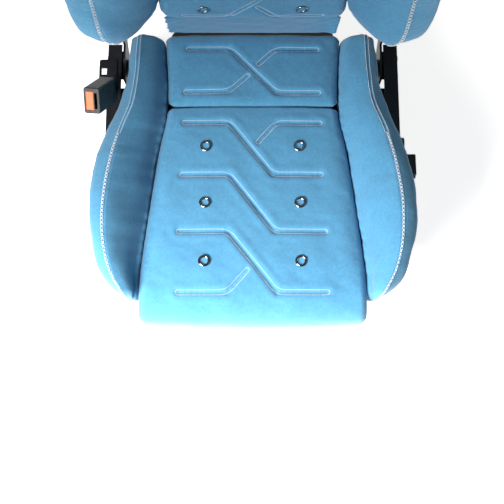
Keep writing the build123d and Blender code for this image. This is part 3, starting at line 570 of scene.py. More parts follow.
def stitches(name, starts, ends, normals, radius, body):
    """Thread stitches: each a six-sided bead with five rings, bowed up between its two ends."""
    sides, rings = 6, 5
    starts, ends, normals = np.asarray(starts), np.asarray(ends), np.asarray(normals)
    along = ends - starts
    length = np.linalg.norm(along, axis=1, keepdims=True)
    along = along / np.maximum(length, 1e-6)
    side = np.cross(normals, along)
    side /= np.maximum(np.linalg.norm(side, axis=1, keepdims=True), 1e-6)
    up = np.cross(along, side)
    share = np.linspace(0, 1, rings)
    width = radius * np.sqrt(np.clip(1 - (2 * share - 1) ** 4, 0.02, 1))
    lift = radius * (1.5 * np.sin(math.pi * share) - 0.55)
    turn = np.arange(sides) * 2 * math.pi / sides
    ring = (starts[:, None, None] + (ends - starts)[:, None, None] * share[None, :, None, None]
            + up[:, None, None] * (lift[None, :, None, None] + (width[:, None] * np.sin(turn))[None, :, :,
                                                                                               None])
            + side[:, None, None] * (width[:, None] * np.cos(turn))[None, :, :, None])
    count = len(starts)
    vertices = ring.reshape(-1, 3)
    one = grid_faces(rings, sides, True, True)
    caps = np.array([[0, 1, 2, 3], [0, 3, 4, 5]])
    one = np.concatenate([one, caps, (caps + (rings - 1) * sides)[:, ::-1]])
    faces = (one[None] + (np.arange(count) * rings * sides)[:, None, None]).reshape(-1, 4)
    piece = make_object(name, vertices, faces, "thread")
    work = bmesh.new()
    work.from_mesh(piece.data)
    bmesh.ops.recalc_face_normals(work, faces=work.faces)
    work.to_mesh(piece.data)
    work.free()
    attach(piece, body)
    return piece


# ---- the centre panels --------------------------------------------------------------------------------
def cushion_top(y):
    """Height of the cushion's top along its middle: a straight slope."""
    return TOP_MIDDLE - TOP_SLOPE * y


def flange_top(y):
    """Height of the side frames' top flange."""
    return FLANGE_MIDDLE - FLANGE_SLOPE * y


def pad_front(height):
    """Depth of the backrest's centre pads: a half sine of lumbar bulge on a straight pad."""
    wave = np.sin(math.pi * np.minimum(1.0, (height - PAD_LOW + 30) / 330.0))
    return PAD_FRONT - LUMBAR * np.maximum(0.0, wave)


def lean(x, depth, height):
    """World points from the backrest's own across, depth and height."""
    y = BACK_Y + depth * math.cos(LEAN) + height * math.sin(LEAN)
    z = BACK_Z - depth * math.sin(LEAN) + height * math.cos(LEAN)
    return np.stack(np.broadcast_arrays(x, y, z), axis=-1)


class Slab:
    """A sewn centre pad: a path in the middle plane carries a flat section with rounded sides.
    The section's first half is the face, from -X to +X; its second half is the back."""

    def __init__(self, path, half, thickness, edge=12.0, crown=3.0, edge_width=16.0, closed_share=0.012,
                 corner=0.0, taper=0.07):
        self.path = np.asarray(path, float)
        count = 400
        self.line, self.length = smooth_path(self.path, count)
        self.half, self.thickness, self.edge = half, thickness, edge
        self.crown, self.edge_width = crown, edge_width
        self.closed_share, self.corner, self.taper = closed_share, corner, taper
        along = np.gradient(self.line, axis=0)
        along /= np.linalg.norm(along, axis=1, keepdims=True)
        self.normal = np.stack([along[:, 1], -along[:, 0]], axis=1)

    def across(self, s, t):
        """Sideways place: the half width at s times a share that runs -1..1 over the face and back."""
        share = np.where(t <= 0.5, 4 * t - 1, 3 - 4 * t)
        half = self.half(s)
        if self.corner:
            ends = np.minimum(s, 1 - s) * self.length[-1]
            inside = np.clip(1 - ends / self.corner, 0, 1)
            half = half - self.corner * (1 - np.sqrt(1 - inside ** 2 * 0.999))
        return half * share

    def __call__(self, s, t):
        s, t = np.broadcast_arrays(s, t)
        place = s * self.length[-1]
        y = np.interp(place, self.length, self.line[:, 0])
        z = np.interp(place, self.length, self.line[:, 1])
        ny = np.interp(place, self.length, self.normal[:, 0])
        nz = np.interp(place, self.length, self.normal[:, 1])
        x = self.across(s, t)
        inward = np.clip((self.half(s) - np.abs(x)) / self.edge_width, 0, 1)
        face = self.crown * (1 - (x / self.half(s)) ** 2) - self.edge * (1 - inward) ** 2.2
        end = ease(np.minimum(s, 1 - s) / self.closed_share)
        deep = 4.0 + (self.thickness - 4.0) * ease(np.minimum(s, 1 - s) / self.taper)
        back = -deep + np.maximum(deep - self.edge, 0) * (1 - inward) ** 3
        lift = np.where(t <= 0.5, face, back)
        middle = -0.5 * self.thickness
        lift = middle + (lift - middle) * np.sqrt(end)
        return np.stack([x, y + ny * lift, z + nz * lift], axis=-1)

    def side_of(self, s, x):
        """t where the face has the sideways place x."""
        return (x / self.half(s) + 1) / 4


def channel_detail(slab, lines, seed, to_plane):
    """Displacement of a sewn face: each channel is a trough between two stitch rows with a swell on both
    sides, fine puckers run across it, and the whole face has a slow uneven swell."""
    def detail(s, t, points):
        s, t = np.broadcast_arrays(s, t)
        x = slab.across(s, t)
        v = to_plane(s)
        distance, along = line_field(x, v, lines)
        trough = -TROUGH_DEPTH * np.exp(-(distance / TROUGH_HALF) ** 4)
        swell = SWELL_RISE * np.exp(-((distance - SWELL_PLACE) / 6.0) ** 2)
        stitch_dip = -0.8 * np.exp(-((distance - CHANNEL_HALF) / 1.1) ** 2)
        pucker = np.sin(along * 2 * math.pi / 8.5 + 1.7 * np.sin(along / 11.0)) * np.exp(
            -np.clip(distance - 2, 0, None) / 6.0)
        border = slab.half(s) - np.abs(x)
        edge_pucker = np.sin(v * 2 * math.pi / 13.0 + 2.0 * np.sin(v / 17.0 + x / 60.0)) * np.exp(
            -border / 9.0)
        slow = rumple(x, v, seed, 70.0) * 0.55 + rumple(x, v, seed + 1, 26.0) * 0.22
        face = (t < 0.5) * ease(np.minimum(t, 0.5 - t) / 0.012) * ease(np.minimum(s, 1 - s) / 0.02)
        return face * (trough + swell + stitch_dip + 0.30 * pucker + 0.45 * edge_pucker + slow)
    return detail


def sewn_pins(slab, lines, to_plane):
    """What stays put while a slab is filled: its rim, its back, its ends and its channels."""
    def pins(s, t, points):
        s, t = np.broadcast_arrays(s, t)
        x, v = slab.across(s, t), to_plane(s)
        rim = np.abs(x) > slab.half(s) - 7
        back = t > 0.5
        ends = (s < 0.05) | (s > 0.96)
        channel = line_field(x, v, lines)[0] < 6.0
        return np.where(rim | back | ends, 1.0, np.where(channel, 0.8, 0.0))
    return pins


def offset_lines(line, gap):
    """The two stitch rows round one channel as a single closed loop: the line moved by gap to each side,
    with round ends."""
    points = np.asarray(line, float)
    step = np.diff(points, axis=0)
    step /= np.linalg.norm(step, axis=1, keepdims=True)
    side = np.stack([-step[:, 1], step[:, 0]], axis=1)
    inner = side[:-1] + side[1:]
    inner /= np.sum(inner * side[:-1], axis=1, keepdims=True)
    offset = np.concatenate([side[:1], inner, side[-1:]])
    turn = np.linspace(0, math.pi, 9)[1:-1, None]
    tail = points[-1] + gap * (side[-1] * np.cos(turn) + step[-1] * np.sin(turn))
    head = points[0] + gap * (-side[0] * np.cos(turn) - step[0] * np.sin(turn))
    return np.concatenate([points + gap * offset, tail, (points - gap * offset)[::-1], head,
                           points[:1] + gap * offset[:1]])


def round_corners(loop, radius, count=7):
    """Replaces each corner of a loop by a quadratic bend that starts radius before it."""
    points = [loop[0]]
    for before, corner, after in zip(loop[:-2], loop[1:-1], loop[2:]):
        back, ahead = before - corner, after - corner
        room = min(radius, 0.48 * np.linalg.norm(back), 0.48 * np.linalg.norm(ahead))
        start = corner + back / max(np.linalg.norm(back), 1e-6) * room
        end = corner + ahead / max(np.linalg.norm(ahead), 1e-6) * room
        share = np.linspace(0, 1, count)[:, None]
        points.extend((1 - share) ** 2 * start + 2 * share * (1 - share) * corner + share ** 2 * end)
    points.append(loop[-1])
    return np.array(points)


def stitch_places(loop, pitch, stitch_share):
    """Starts and ends of evenly spaced stitches along a loop."""
    length = np.concatenate([[0], np.cumsum(np.linalg.norm(np.diff(loop, axis=0), axis=1))])
    count = max(2, int(length[-1] / pitch))
    first = np.arange(count) * length[-1] / count
    last = first + length[-1] / count * stitch_share

    def read(places):
        return np.stack([np.interp(places, length, loop[:, axis]) for axis in (0, 1)], axis=1)
    return read(first), read(last)


def sew_channels(name, pad, slab, lines, from_plane, body):
    """Stitches round every channel of a sewn face."""
    sewing = bpy.context.scene.racing_seat_sewing
    starts, ends, normals = [], [], []
    for line in lines:
        loop = round_corners(offset_lines(round_corners(np.asarray(line, float), 12.0), CHANNEL_HALF), 1.0, 3)
        first, last = stitch_places(loop, sewing.pitch / MM, STITCH_SHARE)
        for places, found in ((first, starts), (last, ends)):
            s = from_plane(places[:, 1])
            found.append(pad.at(s, slab.side_of(s, places[:, 0]))[0])
        middle = (first + last) / 2
        s = from_plane(middle[:, 1])
        normals.append(pad.at(s, slab.side_of(s, middle[:, 0]))[1])
    return stitches(name, np.concatenate(starts), np.concatenate(ends), np.concatenate(normals),
                    sewing.thread / MM, body)


def cushion_slabs():
    """The rear and the front centre panel of the cushion."""
    valley = 6.0
    seam_top = cushion_top(SEAM_Y)
    front = Slab([
        (SEAM_Y - 1.5, seam_top - valley - 6), (SEAM_Y - 3, seam_top - 4),
        (SEAM_Y - 14, cushion_top(SEAM_Y - 14) - 0.5),
        (0, cushion_top(0)), (-120, cushion_top(-120)), (FRONT_Y + 62, cushion_top(FRONT_Y + 62) - 0.5),
        (FRONT_Y + 30, cushion_top(FRONT_Y + 62) - 2), (FRONT_Y + 9, cushion_top(FRONT_Y + 62) - 16),
        (FRONT_Y + 3, cushion_top(FRONT_Y) - 48), (FRONT_Y + 4, SKIRT_Z + 36), (FRONT_Y + 8, SKIRT_Z + 10),
        (FRONT_Y + 20, SKIRT_Z + 3)],
        lambda s: panel_half_at(front, s), 27.0, edge=8.0, edge_width=12.0)
    rear = Slab([
        (REAR_Y - 3, cushion_top(REAR_Y) - 22), (REAR_Y - 3, cushion_top(REAR_Y) - 9),
        (REAR_Y - 14, cushion_top(REAR_Y - 14) - 1),
        (180, cushion_top(180)), (140, cushion_top(140)), (SEAM_Y + 14, cushion_top(SEAM_Y + 14) - 0.5),
        (SEAM_Y + 3, seam_top - 4), (SEAM_Y + 1.5, seam_top - valley - 6)],
        lambda s: panel_half_at(rear, s), 26.0, edge=8.0, edge_width=12.0, closed_share=0.02)
    return front, rear


def panel_half_at(slab, s):
    """Half width of a cushion panel at s, from its y."""
    y = np.interp(s * slab.length[-1], slab.length, slab.line[:, 0])
    return hermite(y, CENTRE_Y, CENTRE_HALF) - 0.5


def plane_map(slab, level):
    """Straight-line maps between s and a level on a slab's face, fitted at two places on its flat."""
    low, high = int(0.25 * len(slab.line)), int(0.6 * len(slab.line))
    values = level(slab.line[:, 0], slab.line[:, 1])
    share = slab.length / slab.length[-1]
    rate = (values[high] - values[low]) / (share[high] - share[low])

    def to_plane(s):
        return values[low] + (s - share[low]) * rate

    def from_plane(value):
        return share[low] + (value - values[low]) / rate
    return to_plane, from_plane


# ---- the side bolsters --------------------------------------------------------------------------------
RIDGE_PLACE = 4 / 11                 # the ridge is the fifth of the section's eleven controls


def section_grid(controls, t):
    """Closed cubic sections through eleven controls each, at the places t round them."""
    weights = cubic_weights(np.atleast_1d(t), controls.shape[1], True)
    return np.einsum("ct,rtk->rck", weights, controls)


def round_ends(points, s, first, last, flat=2.0):
    """Draws the sections in to their middles over the first and last shares of the length."""
    middle = points.mean(axis=1, keepdims=True)
    near = np.clip(1 - s / max(first, 1e-6), 0, 1)
    far = np.clip(1 - (1 - s) / max(last, 1e-6), 0, 1)
    gain = np.sqrt(np.clip(1 - near ** flat, 0, 1)) * np.sqrt(np.clip(1 - far ** flat, 0, 1))
    return middle + (points - middle) * gain.reshape(-1, 1, 1)


def cushion_bolster_shape(s, t):
    """Left cushion bolster: at each y a section from the seam over the ridge and down its outer side."""
    s = np.atleast_1d(np.asarray(s).ravel())
    y = BOLSTER_HIGH[1] - 1 + s * (OUTER_Y[-1] - BOLSTER_HIGH[1] + 1)
    inner = hermite(y, CENTRE_Y, CENTRE_HALF) + 0.5
    outer, ridge_x = hermite(y, OUTER_Y, OUTER_X), hermite(y, RIDGE_Y, RIDGE_X)
    rise = hermite(y, RISE_Y, RISE)
    top, low = cushion_top(y), flange_top(y) + 4.0
    ridge_z = top + rise
    wide = ridge_x - inner

    def control(x, z):
        return np.stack(np.broadcast_arrays(x, y, z), axis=-1)

    controls = np.stack([
        control(inner + 1, top - 15), control(inner + 7, top - 2 + 0.05 * rise),
        control(inner + 0.36 * wide, top + 0.47 * rise), control(inner + 0.72 * wide, top + 0.86 * rise),
        control(ridge_x, ridge_z), control(outer - 4, ridge_z - 11),
        control(outer, ridge_z - 0.27 * (ridge_z - low)),
        control(outer - 3, ridge_z - 0.75 * (ridge_z - low)), control(outer - 15, low),
        control(inner + 0.5 * wide, low), control(inner + 3, low + 4)], axis=1)
    points = section_grid(controls, np.asarray(t).ravel())
    return round_ends(points, s, 0.03, 0.035, 2.6)


def back_bolster_shape(s, t):
    """Left lower bolster of the backrest, from its top to its rounded foot."""
    s = np.atleast_1d(np.asarray(s).ravel())
    height = 427.0 - s * (427.0 - 26.0)
    inner, ridge_x = hermite(height, BACK_H, BACK_INNER), hermite(height, BACK_H, BACK_RIDGE)
    outer, rise = hermite(height, BACK_H, BACK_OUTER), hermite(height, BACK_H, BACK_RISE)
    front = pad_front(height)
    peak = PAD_FRONT - rise
    wide = ridge_x - inner

    def control(x, depth):
        return lean(x, depth, height)

    controls = np.stack([
        control(inner + 1, np.maximum(front, peak) + 14), control(inner + 7, 0.92 * front + 0.08 * peak),
        control(inner + 0.36 * wide, front + 0.5 * (peak - front)),
        control(inner + 0.72 * wide, front + 0.88 * (peak - front)),
        control(ridge_x, peak), control(outer - 7, peak + 13),
        control(outer, peak + 0.42 * (PAD_BACK - peak)),
        control(outer - 4, peak + 0.78 * (PAD_BACK - peak)), control(outer - 18, PAD_BACK),
        control(inner + 0.5 * wide, PAD_BACK), control(inner + 3, PAD_BACK - 4)], axis=1)
    points = section_grid(controls, np.asarray(t).ravel())
    return round_ends(points, s, 0.02, 0.16, 2.2)


def shoulder_shape(s, t):
    """Left shoulder bolster, from under the head to the lower bolster."""
    s = np.atleast_1d(np.asarray(s).ravel())
    height = 616.0 - s * (616.0 - 432.0)
    levels = [430.0, 480.0, 540.0, 600.0, 616.0]
    inner = np.full_like(height, 147.0)
    outer = hermite(height, levels, [256.0, 274.0, 270.0, 222.0, 204.0])
    rise = hermite(height, levels, [44.0, 60.0, 56.0, 30.0, 22.0])
    ridge_x = inner + 0.70 * (outer - inner)
    peak, wide = PAD_FRONT - rise, ridge_x - inner

    def control(x, depth):
        return lean(x, depth, height)

    controls = np.stack([
        control(inner + 1, PAD_FRONT + 12), control(inner + 6, PAD_FRONT - 2),
        control(inner + 0.36 * wide, PAD_FRONT - 0.5 * rise),
        control(inner + 0.72 * wide, PAD_FRONT - 0.88 * rise), control(ridge_x, peak),
        control(outer - 7, peak + 12),
        control(outer, peak + 0.45 * (PAD_BACK - peak)), control(outer - 4, peak + 0.78 * (PAD_BACK - peak)),
        control(outer - 16, PAD_BACK), control(inner + 0.5 * wide, PAD_BACK),
        control(inner + 3, PAD_BACK - 4)], axis=1)
    points = section_grid(controls, np.asarray(t).ravel())
    return round_ends(points, s, 0.16, 0.03, 2.2)


def bolster_pins(s, t, points):
    """The seam edges, the ridge and the underside of a bolster stay put while it is filled."""
    s, t = np.broadcast_arrays(s, t)
    seam = (t < 0.045) | (t > 0.70)
    ridge = np.abs(t - RIDGE_PLACE) < 0.016
    ends = (s < 0.05) | (s > 0.95)
    return np.where(seam | ends, 1.0, np.where(ridge, 0.6, 0.0))


def bolster_detail(seed, cross_from):
    """Ridge seam with puckers across it, tension folds off the inner seam, and slow swell."""
    def detail(s, t, points):
        s, t = np.broadcast_arrays(s, t)
        step = np.linalg.norm(np.diff(points, axis=1), axis=-1).mean()
        around = (t - RIDGE_PLACE) * points.shape[1] * step
        row = np.linalg.norm(np.diff(points[:, 0], axis=0), axis=-1)
        along = np.concatenate([[0], np.cumsum(row)])[:, None] + 0 * t
        seam = -0.8 * np.exp(-(around / 1.6) ** 2)
        shoulders = 0.5 * np.exp(-((np.abs(around) - 7.0) / 4.5) ** 2)
        wave = np.sin(along * 2 * math.pi / 10.0 + 1.9 * np.sin(along / 23.0 + seed))
        strong = np.where(s > cross_from, 0.55, 0.28)
        pucker = strong * wave * np.exp(-np.abs(around) / 8.0) * (1 - np.exp(-(around / 2.5) ** 2))
        foot = np.clip(t / 0.10, 0, 1)
        gather = 0.7 * np.sin(along * 2 * math.pi / 21.0 + 2.2 * np.sin(along / 31.0)) * np.exp(-((
            foot - 0.45) / 0.35) ** 2)
        slow = rumple(along, around, seed, 90.0) * 1.1 + rumple(along, around, seed + 1, 34.0) * 0.35
        ends = ease(np.minimum(s, 1 - s) / 0.06)
        return ends * (seam + shoulders + pucker + (gather + slow) * (t < 0.75))
    return detail


def sew_ridge(name, pad, first, cross, last, body):
    """Twin rows of stitches beside the ridge from first to cross, then crossed stitches over it to last."""
    sewing = bpy.context.scene.racing_seat_sewing
    gap, cross_pitch = sewing.ridge_gap / MM, sewing.cross_pitch / MM
    rows = pad.points.shape[0]
    ridge = pad.at(np.linspace(0, 1, rows), np.full(rows, RIDGE_PLACE))[0]
    length = np.concatenate([[0], np.cumsum(np.linalg.norm(np.diff(ridge, axis=0), axis=1))])
    perimeter = np.linalg.norm(np.diff(pad.points, axis=1), axis=-1).sum(axis=1)

    def read(place, offset):
        s = np.interp(place, length, np.linspace(0, 1, rows))
        turn = offset / np.interp(s, np.linspace(0, 1, rows), perimeter)
        return pad.at(s, RIDGE_PLACE + turn)

    starts, ends, normals = [], [], []
    at = length[-1] * first, length[-1] * cross, length[-1] * last
    pitch = sewing.pitch / MM * 1.1
    runs = [(np.arange(at[0], at[1], pitch), 0.72 * pitch, side, side, 0.0) for side in (-gap, gap)]
    runs += [(np.arange(at[1], at[2], cross_pitch), 0.95 * cross_pitch, -side, side, 1.3) for side in (-gap,
                                                                                                       gap)]
    for places, step, begin, finish, lift in runs:
        (a, a_normal), (b, b_normal) = read(places, begin), read(places + step, finish)
        starts.append(a + a_normal * lift)
        ends.append(b + b_normal * lift)
        normals.append((a_normal + b_normal) / 2)
    return stitches(name, np.concatenate(starts), np.concatenate(ends), np.concatenate(normals),
                    sewing.thread / MM, body)


def mirrored(shape):
    """The right-hand twin of a left-hand shape."""
    return lambda s, t: shape(s, t) * np.array([-1.0, 1.0, 1.0])


# ---- eyelets ------------------------------------------------------------------------------------------
def eyelet_rings(name, centres, normals, body, *nodes):
    """Rolled ring eyelets: a circle profile flattened at its foot is turned about each normal, and a sleeve
    runs down into the pad."""
    sewing = bpy.context.scene.racing_seat_sewing
    outer, hole = sewing.eyelet_outer / MM, sewing.eyelet_hole / MM
    tube = (outer - hole) / 2
    middle = (outer + hole) / 2
    turn = np.linspace(0, 2 * math.pi, 49)[:-1]
    bend = np.radians(np.array([-62, -35, 0, 30, 60, 90, 120, 150, 180]))
    radius = np.concatenate([middle + tube * np.cos(bend), [hole - 0.1, hole - 0.3, hole + 0.5]])
    rise = np.concatenate([tube * 0.62 * np.sin(bend), [-2.0, -6.0, -7.0]])
    vertices, faces, offset = [], [], 0
    ring_faces = grid_faces(len(radius), len(turn), True, False)
    for centre, normal in zip(centres, normals):
        side = np.cross([0.0, 1.0, 0.0] if abs(normal[1]) < 0.8 else [1.0, 0.0, 0.0], normal)
        side /= np.linalg.norm(side)
        other = np.cross(normal, side)
        circle = np.cos(turn)[None, :, None] * side + np.sin(turn)[None, :, None] * other
        vertices.append((centre + radius[:, None,
                                         None] * circle + (rise[:, None, None] + 1.2) * normal).reshape(-1,
                                                                                                        3))
        faces.append(ring_faces + offset)
        offset += len(radius) * len(turn)
    piece = make_object(name, np.concatenate(vertices), np.concatenate(faces), "chrome")
    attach(piece, body)
    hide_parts(*nodes)
    return piece


def eyelet_wells(name, centres, normals, body):
    """The cover seen through the rings: a shallow dish, its depth falling with the square of the radius."""
    hole = bpy.context.scene.racing_seat_sewing.eyelet_hole / MM
    turn = np.linspace(0, 2 * math.pi, 33)[:-1]
    share = np.linspace(1, 0.02, 7)
    vertices, faces = [], []
    one = grid_faces(len(share), len(turn), True, False)
    for number, (centre, normal) in enumerate(zip(centres, normals)):
        side = np.cross([0.0, 1.0, 0.0] if abs(normal[1]) < 0.8 else [1.0, 0.0, 0.0], normal)
        side /= np.linalg.norm(side)
        other = np.cross(normal, side)
        circle = np.cos(turn)[None, :, None] * side + np.sin(turn)[None, :, None] * other
        depth = 0.9 - 0.5 * (1 - share ** 2)
        vertices.append((centre + (hole + 0.6) * share[:, None, None] * circle
                         + depth[:, None, None] * normal).reshape(-1, 3))
        faces.append(one + number * len(share) * len(turn))
    piece = make_object(name, np.concatenate(vertices), np.concatenate(faces), "suede")
    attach(piece, body)
    return piece


# ---- the groups of pieces -----------------------------------------------------------------------------
def level_y(y, z):
    """A cushion's level is its y."""
    return y


def level_height(y, z):
    """A back pad's level is its height along the lean."""
    return (y - BACK_Y) * math.sin(LEAN) + (z - BACK_Z) * math.cos(LEAN)


def sewn_pad(name, slab, lines, level, rows, columns, seed, body, fill, node, cap=4.0):
    """A centre pad with its channels and their stitches."""
    to_plane, from_plane = plane_map(slab, level)
    pad = Pad(name, slab, rows, columns, sewn_pins(slab, lines, to_plane), cap=cap,
              detail=channel_detail(slab, lines, seed, to_plane))
    pad.build(body, fill, node)
    if lines:
        sew_channels(name + "_stitching", pad, slab, lines, from_plane, body)
    return pad, slab, from_plane


def ring_places(pad, slab, from_plane, levels):
    """Centres and normals of the eyelets of a pad at the given levels, on both sides."""
    reach = EYELET_X
    x = np.tile([-reach, reach], len(levels))
    s = from_plane(np.repeat(levels, 2))
    return pad.at(s, slab.side_of(s, x))


def back_slab(top, bottom, half, thickness, **sizes):
    """A backrest pad between two heights: its face is drawn in to the seams at both ends."""
    heights = [top - 0.5, top - 3, top - 12, top - 30, (top + bottom) / 2 + 30, (top + bottom) / 2 - 30,
               bottom + 30, bottom + 12, bottom + 3, bottom + 0.5]
    sink = [11.0, 4.5, 0.8, 0, 0, 0, 0, 0.8, 4.5, 11.0]
    path = [lean(0, pad_front(height) + depth, height)[1:] for height, depth in zip(heights, sink)]
    return Slab(path, half, thickness, **sizes)


def make_cushion():
    """The cushion's two sewn panels and the foam under them."""
    front, rear = cushion_slabs()
    made = sewn_pad("front_panel", front, FRONT_CHANNELS, level_y, rows=230, columns=380,
                    seed=11, body="seat", fill=0.6, node="cushion_front_panel")
    sewn_pad("rear_panel", rear, REAR_CHANNELS, level_y, rows=90, columns=320,
             seed=23, body="seat", fill=0.6, node="cushion_rear_panel")
    places, normals = ring_places(*made, CUSHION_EYELETS)
    eyelet_rings("cushion_eyelet_rings", places, normals, "seat", "cushion_eyelets")
    eyelet_wells("cushion_eyelet_mouths", places, normals, "seat")
    make_core()


def make_core():
    """Foam block under the panels: its top follows the cushion, its bottom the pan, its edges are rounded."""
    low, high = node_box("cushion_core")
    rear = high[1] - 9
    path = [(rear - 3, low[2] + 30), (rear - 1, low[2] + 48), (rear - 12, cushion_top(rear) - 38)]
    path += [(y, cushion_top(y) - 37) for y in (170, 60, -60, -150)]
    path += [(low[1] + 12, cushion_top(low[1]) - 36), (low[1] + 2, cushion_top(low[1]) - 56),
             (low[1] + 1, low[2] + 58)]
    block = Slab(path, lambda s: panel_half_at(block, s) - 4, 40.0, edge=8.0, crown=0.0)
    pad = Pad("foam_core", block, 90, 120, lambda s, t, points: np.ones(points.shape[:2]))
    piece = grid_object(pad.name, pad.points, "foam")
    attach(piece, "seat")
    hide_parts("cushion_core")


def make_flap():
    """The soft flap that closes the gap behind the cushion: a thin slab with tucks at its ends."""
    low, high = node_box("tuck_flap")
    top, foot = low[1] + 3.0, high[1] - 3.0
    path = [(foot + (top - foot) * share, low[2] + 1 + (high[2] - low[2] - 2) * share)
            for share in (1.0, 0.88, 0.68, 0.46, 0.22, 0.0)]
    flap = Slab(path, lambda s: 0 * s + high[0] - 2, 4.0, edge=1.5, crown=0.6, edge_width=6.0)

    def tucks(s, t, points):
        s, t = np.broadcast_arrays(s, t)
        x = flap.across(s, t)
        z = s * flap.length[-1]
        near_end = np.exp(-(FLAP_HALF - np.abs(x)) / 26.0) * np.where(x > 0, 1.5, 0.8)
        fold = np.sin((x * 0.55 + z * 0.75) * 2 * math.pi / 15.0 + 1.3 * np.sin(z / 9.0))
        return ((1.9 * near_end * fold + 0.7 * rumple(x, z, 71, 40.0))
                * ease(np.minimum(s, 1 - s) / 0.05) * (t < 0.5))

    pad = Pad("rear_flap", flap, 60, 320, lambda s, t, points: np.ones(points.shape[:2]), detail=tucks)
    pad.build("backrest", 0.3, "tuck_flap")


def make_cushion_bolsters():
    """The two side bolsters of the cushion, with their ridge seams."""
    for side, node, seed in ((1, "cushion_bolster_left", 31), (-1, "cushion_bolster_right", 37)):
        shape = cushion_bolster_shape if side > 0 else mirrored(cushion_bolster_shape)
        pad = Pad(node + "_cover", shape, 250, 190, bolster_pins, cap=5.0, flip=side < 0,
                  detail=bolster_detail(seed, 0.42))
        pad.build("seat", 0.7, node)
        sew_ridge(node + "_stitching", pad, 0.02, 0.42, 0.93, "seat")


def make_back_pads():
    """The centre pads of the backrest and its head pad."""
    lumbar = back_slab(PAD_SPLIT, PAD_LOW, lambda s: 0 * s + PAD_HALF, 34.0)
    made = sewn_pad("lumbar_cover", lumbar, LUMBAR_CHANNELS, level_height, rows=150, columns=300,
                    seed=41, body="backrest", fill=0.6, node="lumbar_pad")
    upper = back_slab(PAD_TOP, PAD_SPLIT, lambda s: 0 * s + PAD_HALF, 34.0)
    sewn_pad("upper_cover", upper, UPPER_CHANNELS, level_height, rows=140, columns=300,
             seed=43, body="backrest", fill=0.6, node="upper_pad")
    head = back_slab(BACK_TOP, SLOT_TOP, lambda s: 0 * s + HEAD_HALF, 66.0, edge=20.0, edge_width=30.0,
                     closed_share=0.16, corner=34.0, taper=0.2, crown=8.0)
    sewn_pad("head_cover", head, [], level_height, rows=110, columns=260,
             seed=47, body="backrest", fill=0.8, node="head_pad", cap=8.0)
    places, normals = ring_places(*made, BACK_EYELETS)
    eyelet_rings("back_eyelet_rings", places, normals, "backrest", "back_eyelets")
    eyelet_wells("back_eyelet_mouths", places, normals, "backrest")


def make_back_bolsters():
    """The four side bolsters of the backrest."""
    pairs = [("back_bolster", back_bolster_shape, 210, 200, 0.02, 0.55, 0.94),
             ("shoulder_bolster", shoulder_shape, 130, 190, 0.12, 0.12, 0.96)]
    for stem, shape, rows, columns, first, cross, last in pairs:
        for side, end, seed in ((1, "_left", 51), (-1, "_right", 57)):
            pad = Pad(stem + end + "_cover", shape if side > 0 else mirrored(shape), rows, columns,
                      bolster_pins,
                      cap=5.0, flip=side < 0, detail=bolster_detail(seed + rows, cross))
            pad.build("backrest", 0.7, stem + end)
            sew_ridge(stem + end + "_stitching", pad, first, cross, last, "backrest")


def finish_cad_nodes():
    """Gives every remaining CAD node the full material of its slot."""
    slots = {part["node"]: part["material_slot"] for part in frame["record"]["subparts"]}
    for name, node in frame["nodes"].items():
        if slots[name] in ("suede", "foam"):
            continue
        finish = material(slots[name])
        for slot in node.material_slots:
            slot.link = "OBJECT"
            slot.material = finish


# ---- the stage, in metres and radians -----------------------------------------------------------------
KEY_PLACE, KEY_AIM = (-0.80, -0.85, 1.20), (-0.15, -1.05, 0.0)
KEY_SIZE, KEY_SPREAD = (0.8, 0.8), 1.9
FILL_PLACE, FILL_AIM, FILL_SIZE = (1.5, 0.1, 1.9), (0, 0, 0.2), (1.5, 1.5)
WARM_WHITE, COOL_WHITE = (1.0, 0.99, 0.97), (0.95, 0.98, 1.0)
CAMERA_PLACE, CAMERA_AIM = (-0.0012, -0.361, 1.798), (-0.0012, -0.147, 0.270)
FLOOR_REACH = 6.0


def area_light(name, place, target, size, power, colour, spread=math.pi):
    """A soft rectangular lamp at a place, aimed at a target, in metres, watts and radians of spread."""
    lamp = bpy.data.lights.new(name, "AREA")
    lamp.shape = "RECTANGLE"
    lamp.size, lamp.size_y = size
    lamp.energy = power
    lamp.color = colour
    lamp.spread = spread
    piece = bpy.data.objects.new(name, lamp)
    piece.location = place
    piece.rotation_euler = (Vector(target) - Vector(place)).to_track_quat("-Z", "Y").to_euler()
    bpy.context.scene.collection.objects.link(piece)


def make_stage():
    """Seamless floor, soft lamps over the front, pale surroundings and the camera."""
    stage = bpy.context.scene.racing_seat_stage
    reach = FLOOR_REACH / MM
    corners = np.array([(-reach, -reach, 0), (reach, -reach, 0), (reach, reach, 0), (-reach, reach, 0)])
    floor = make_object("floor", corners, np.array([[0, 1, 2, 3]]), None)
    floor.data.materials.append(pale_floor(stage))
    area_light("key_light", KEY_PLACE, KEY_AIM, KEY_SIZE, stage.key_power, WARM_WHITE, KEY_SPREAD)
    area_light("fill_light", FILL_PLACE, FILL_AIM, FILL_SIZE, stage.fill_power, COOL_WHITE)
    world = bpy.data.worlds.new("surroundings")
    world.use_nodes = True
    background = world.node_tree.nodes["Background"]
    background.inputs["Color"].default_value = (1.0, 1.0, 1.0, 1.0)
    background.inputs["Strength"].default_value = stage.surround
    bpy.context.scene.world = world
    lens = bpy.data.cameras.new("camera")
    lens.lens = stage.lens
    lens.sensor_width = 36.0
    camera = bpy.data.objects.new("camera", lens)
    camera.location = CAMERA_PLACE
    aim = Vector(CAMERA_AIM) - camera.location
    camera.rotation_euler = aim.to_track_quat("-Z", "Y").to_euler()
    bpy.context.scene.collection.objects.link(camera)
    bpy.context.scene.camera = camera
    bpy.context.scene.view_settings.view_transform = "Standard"


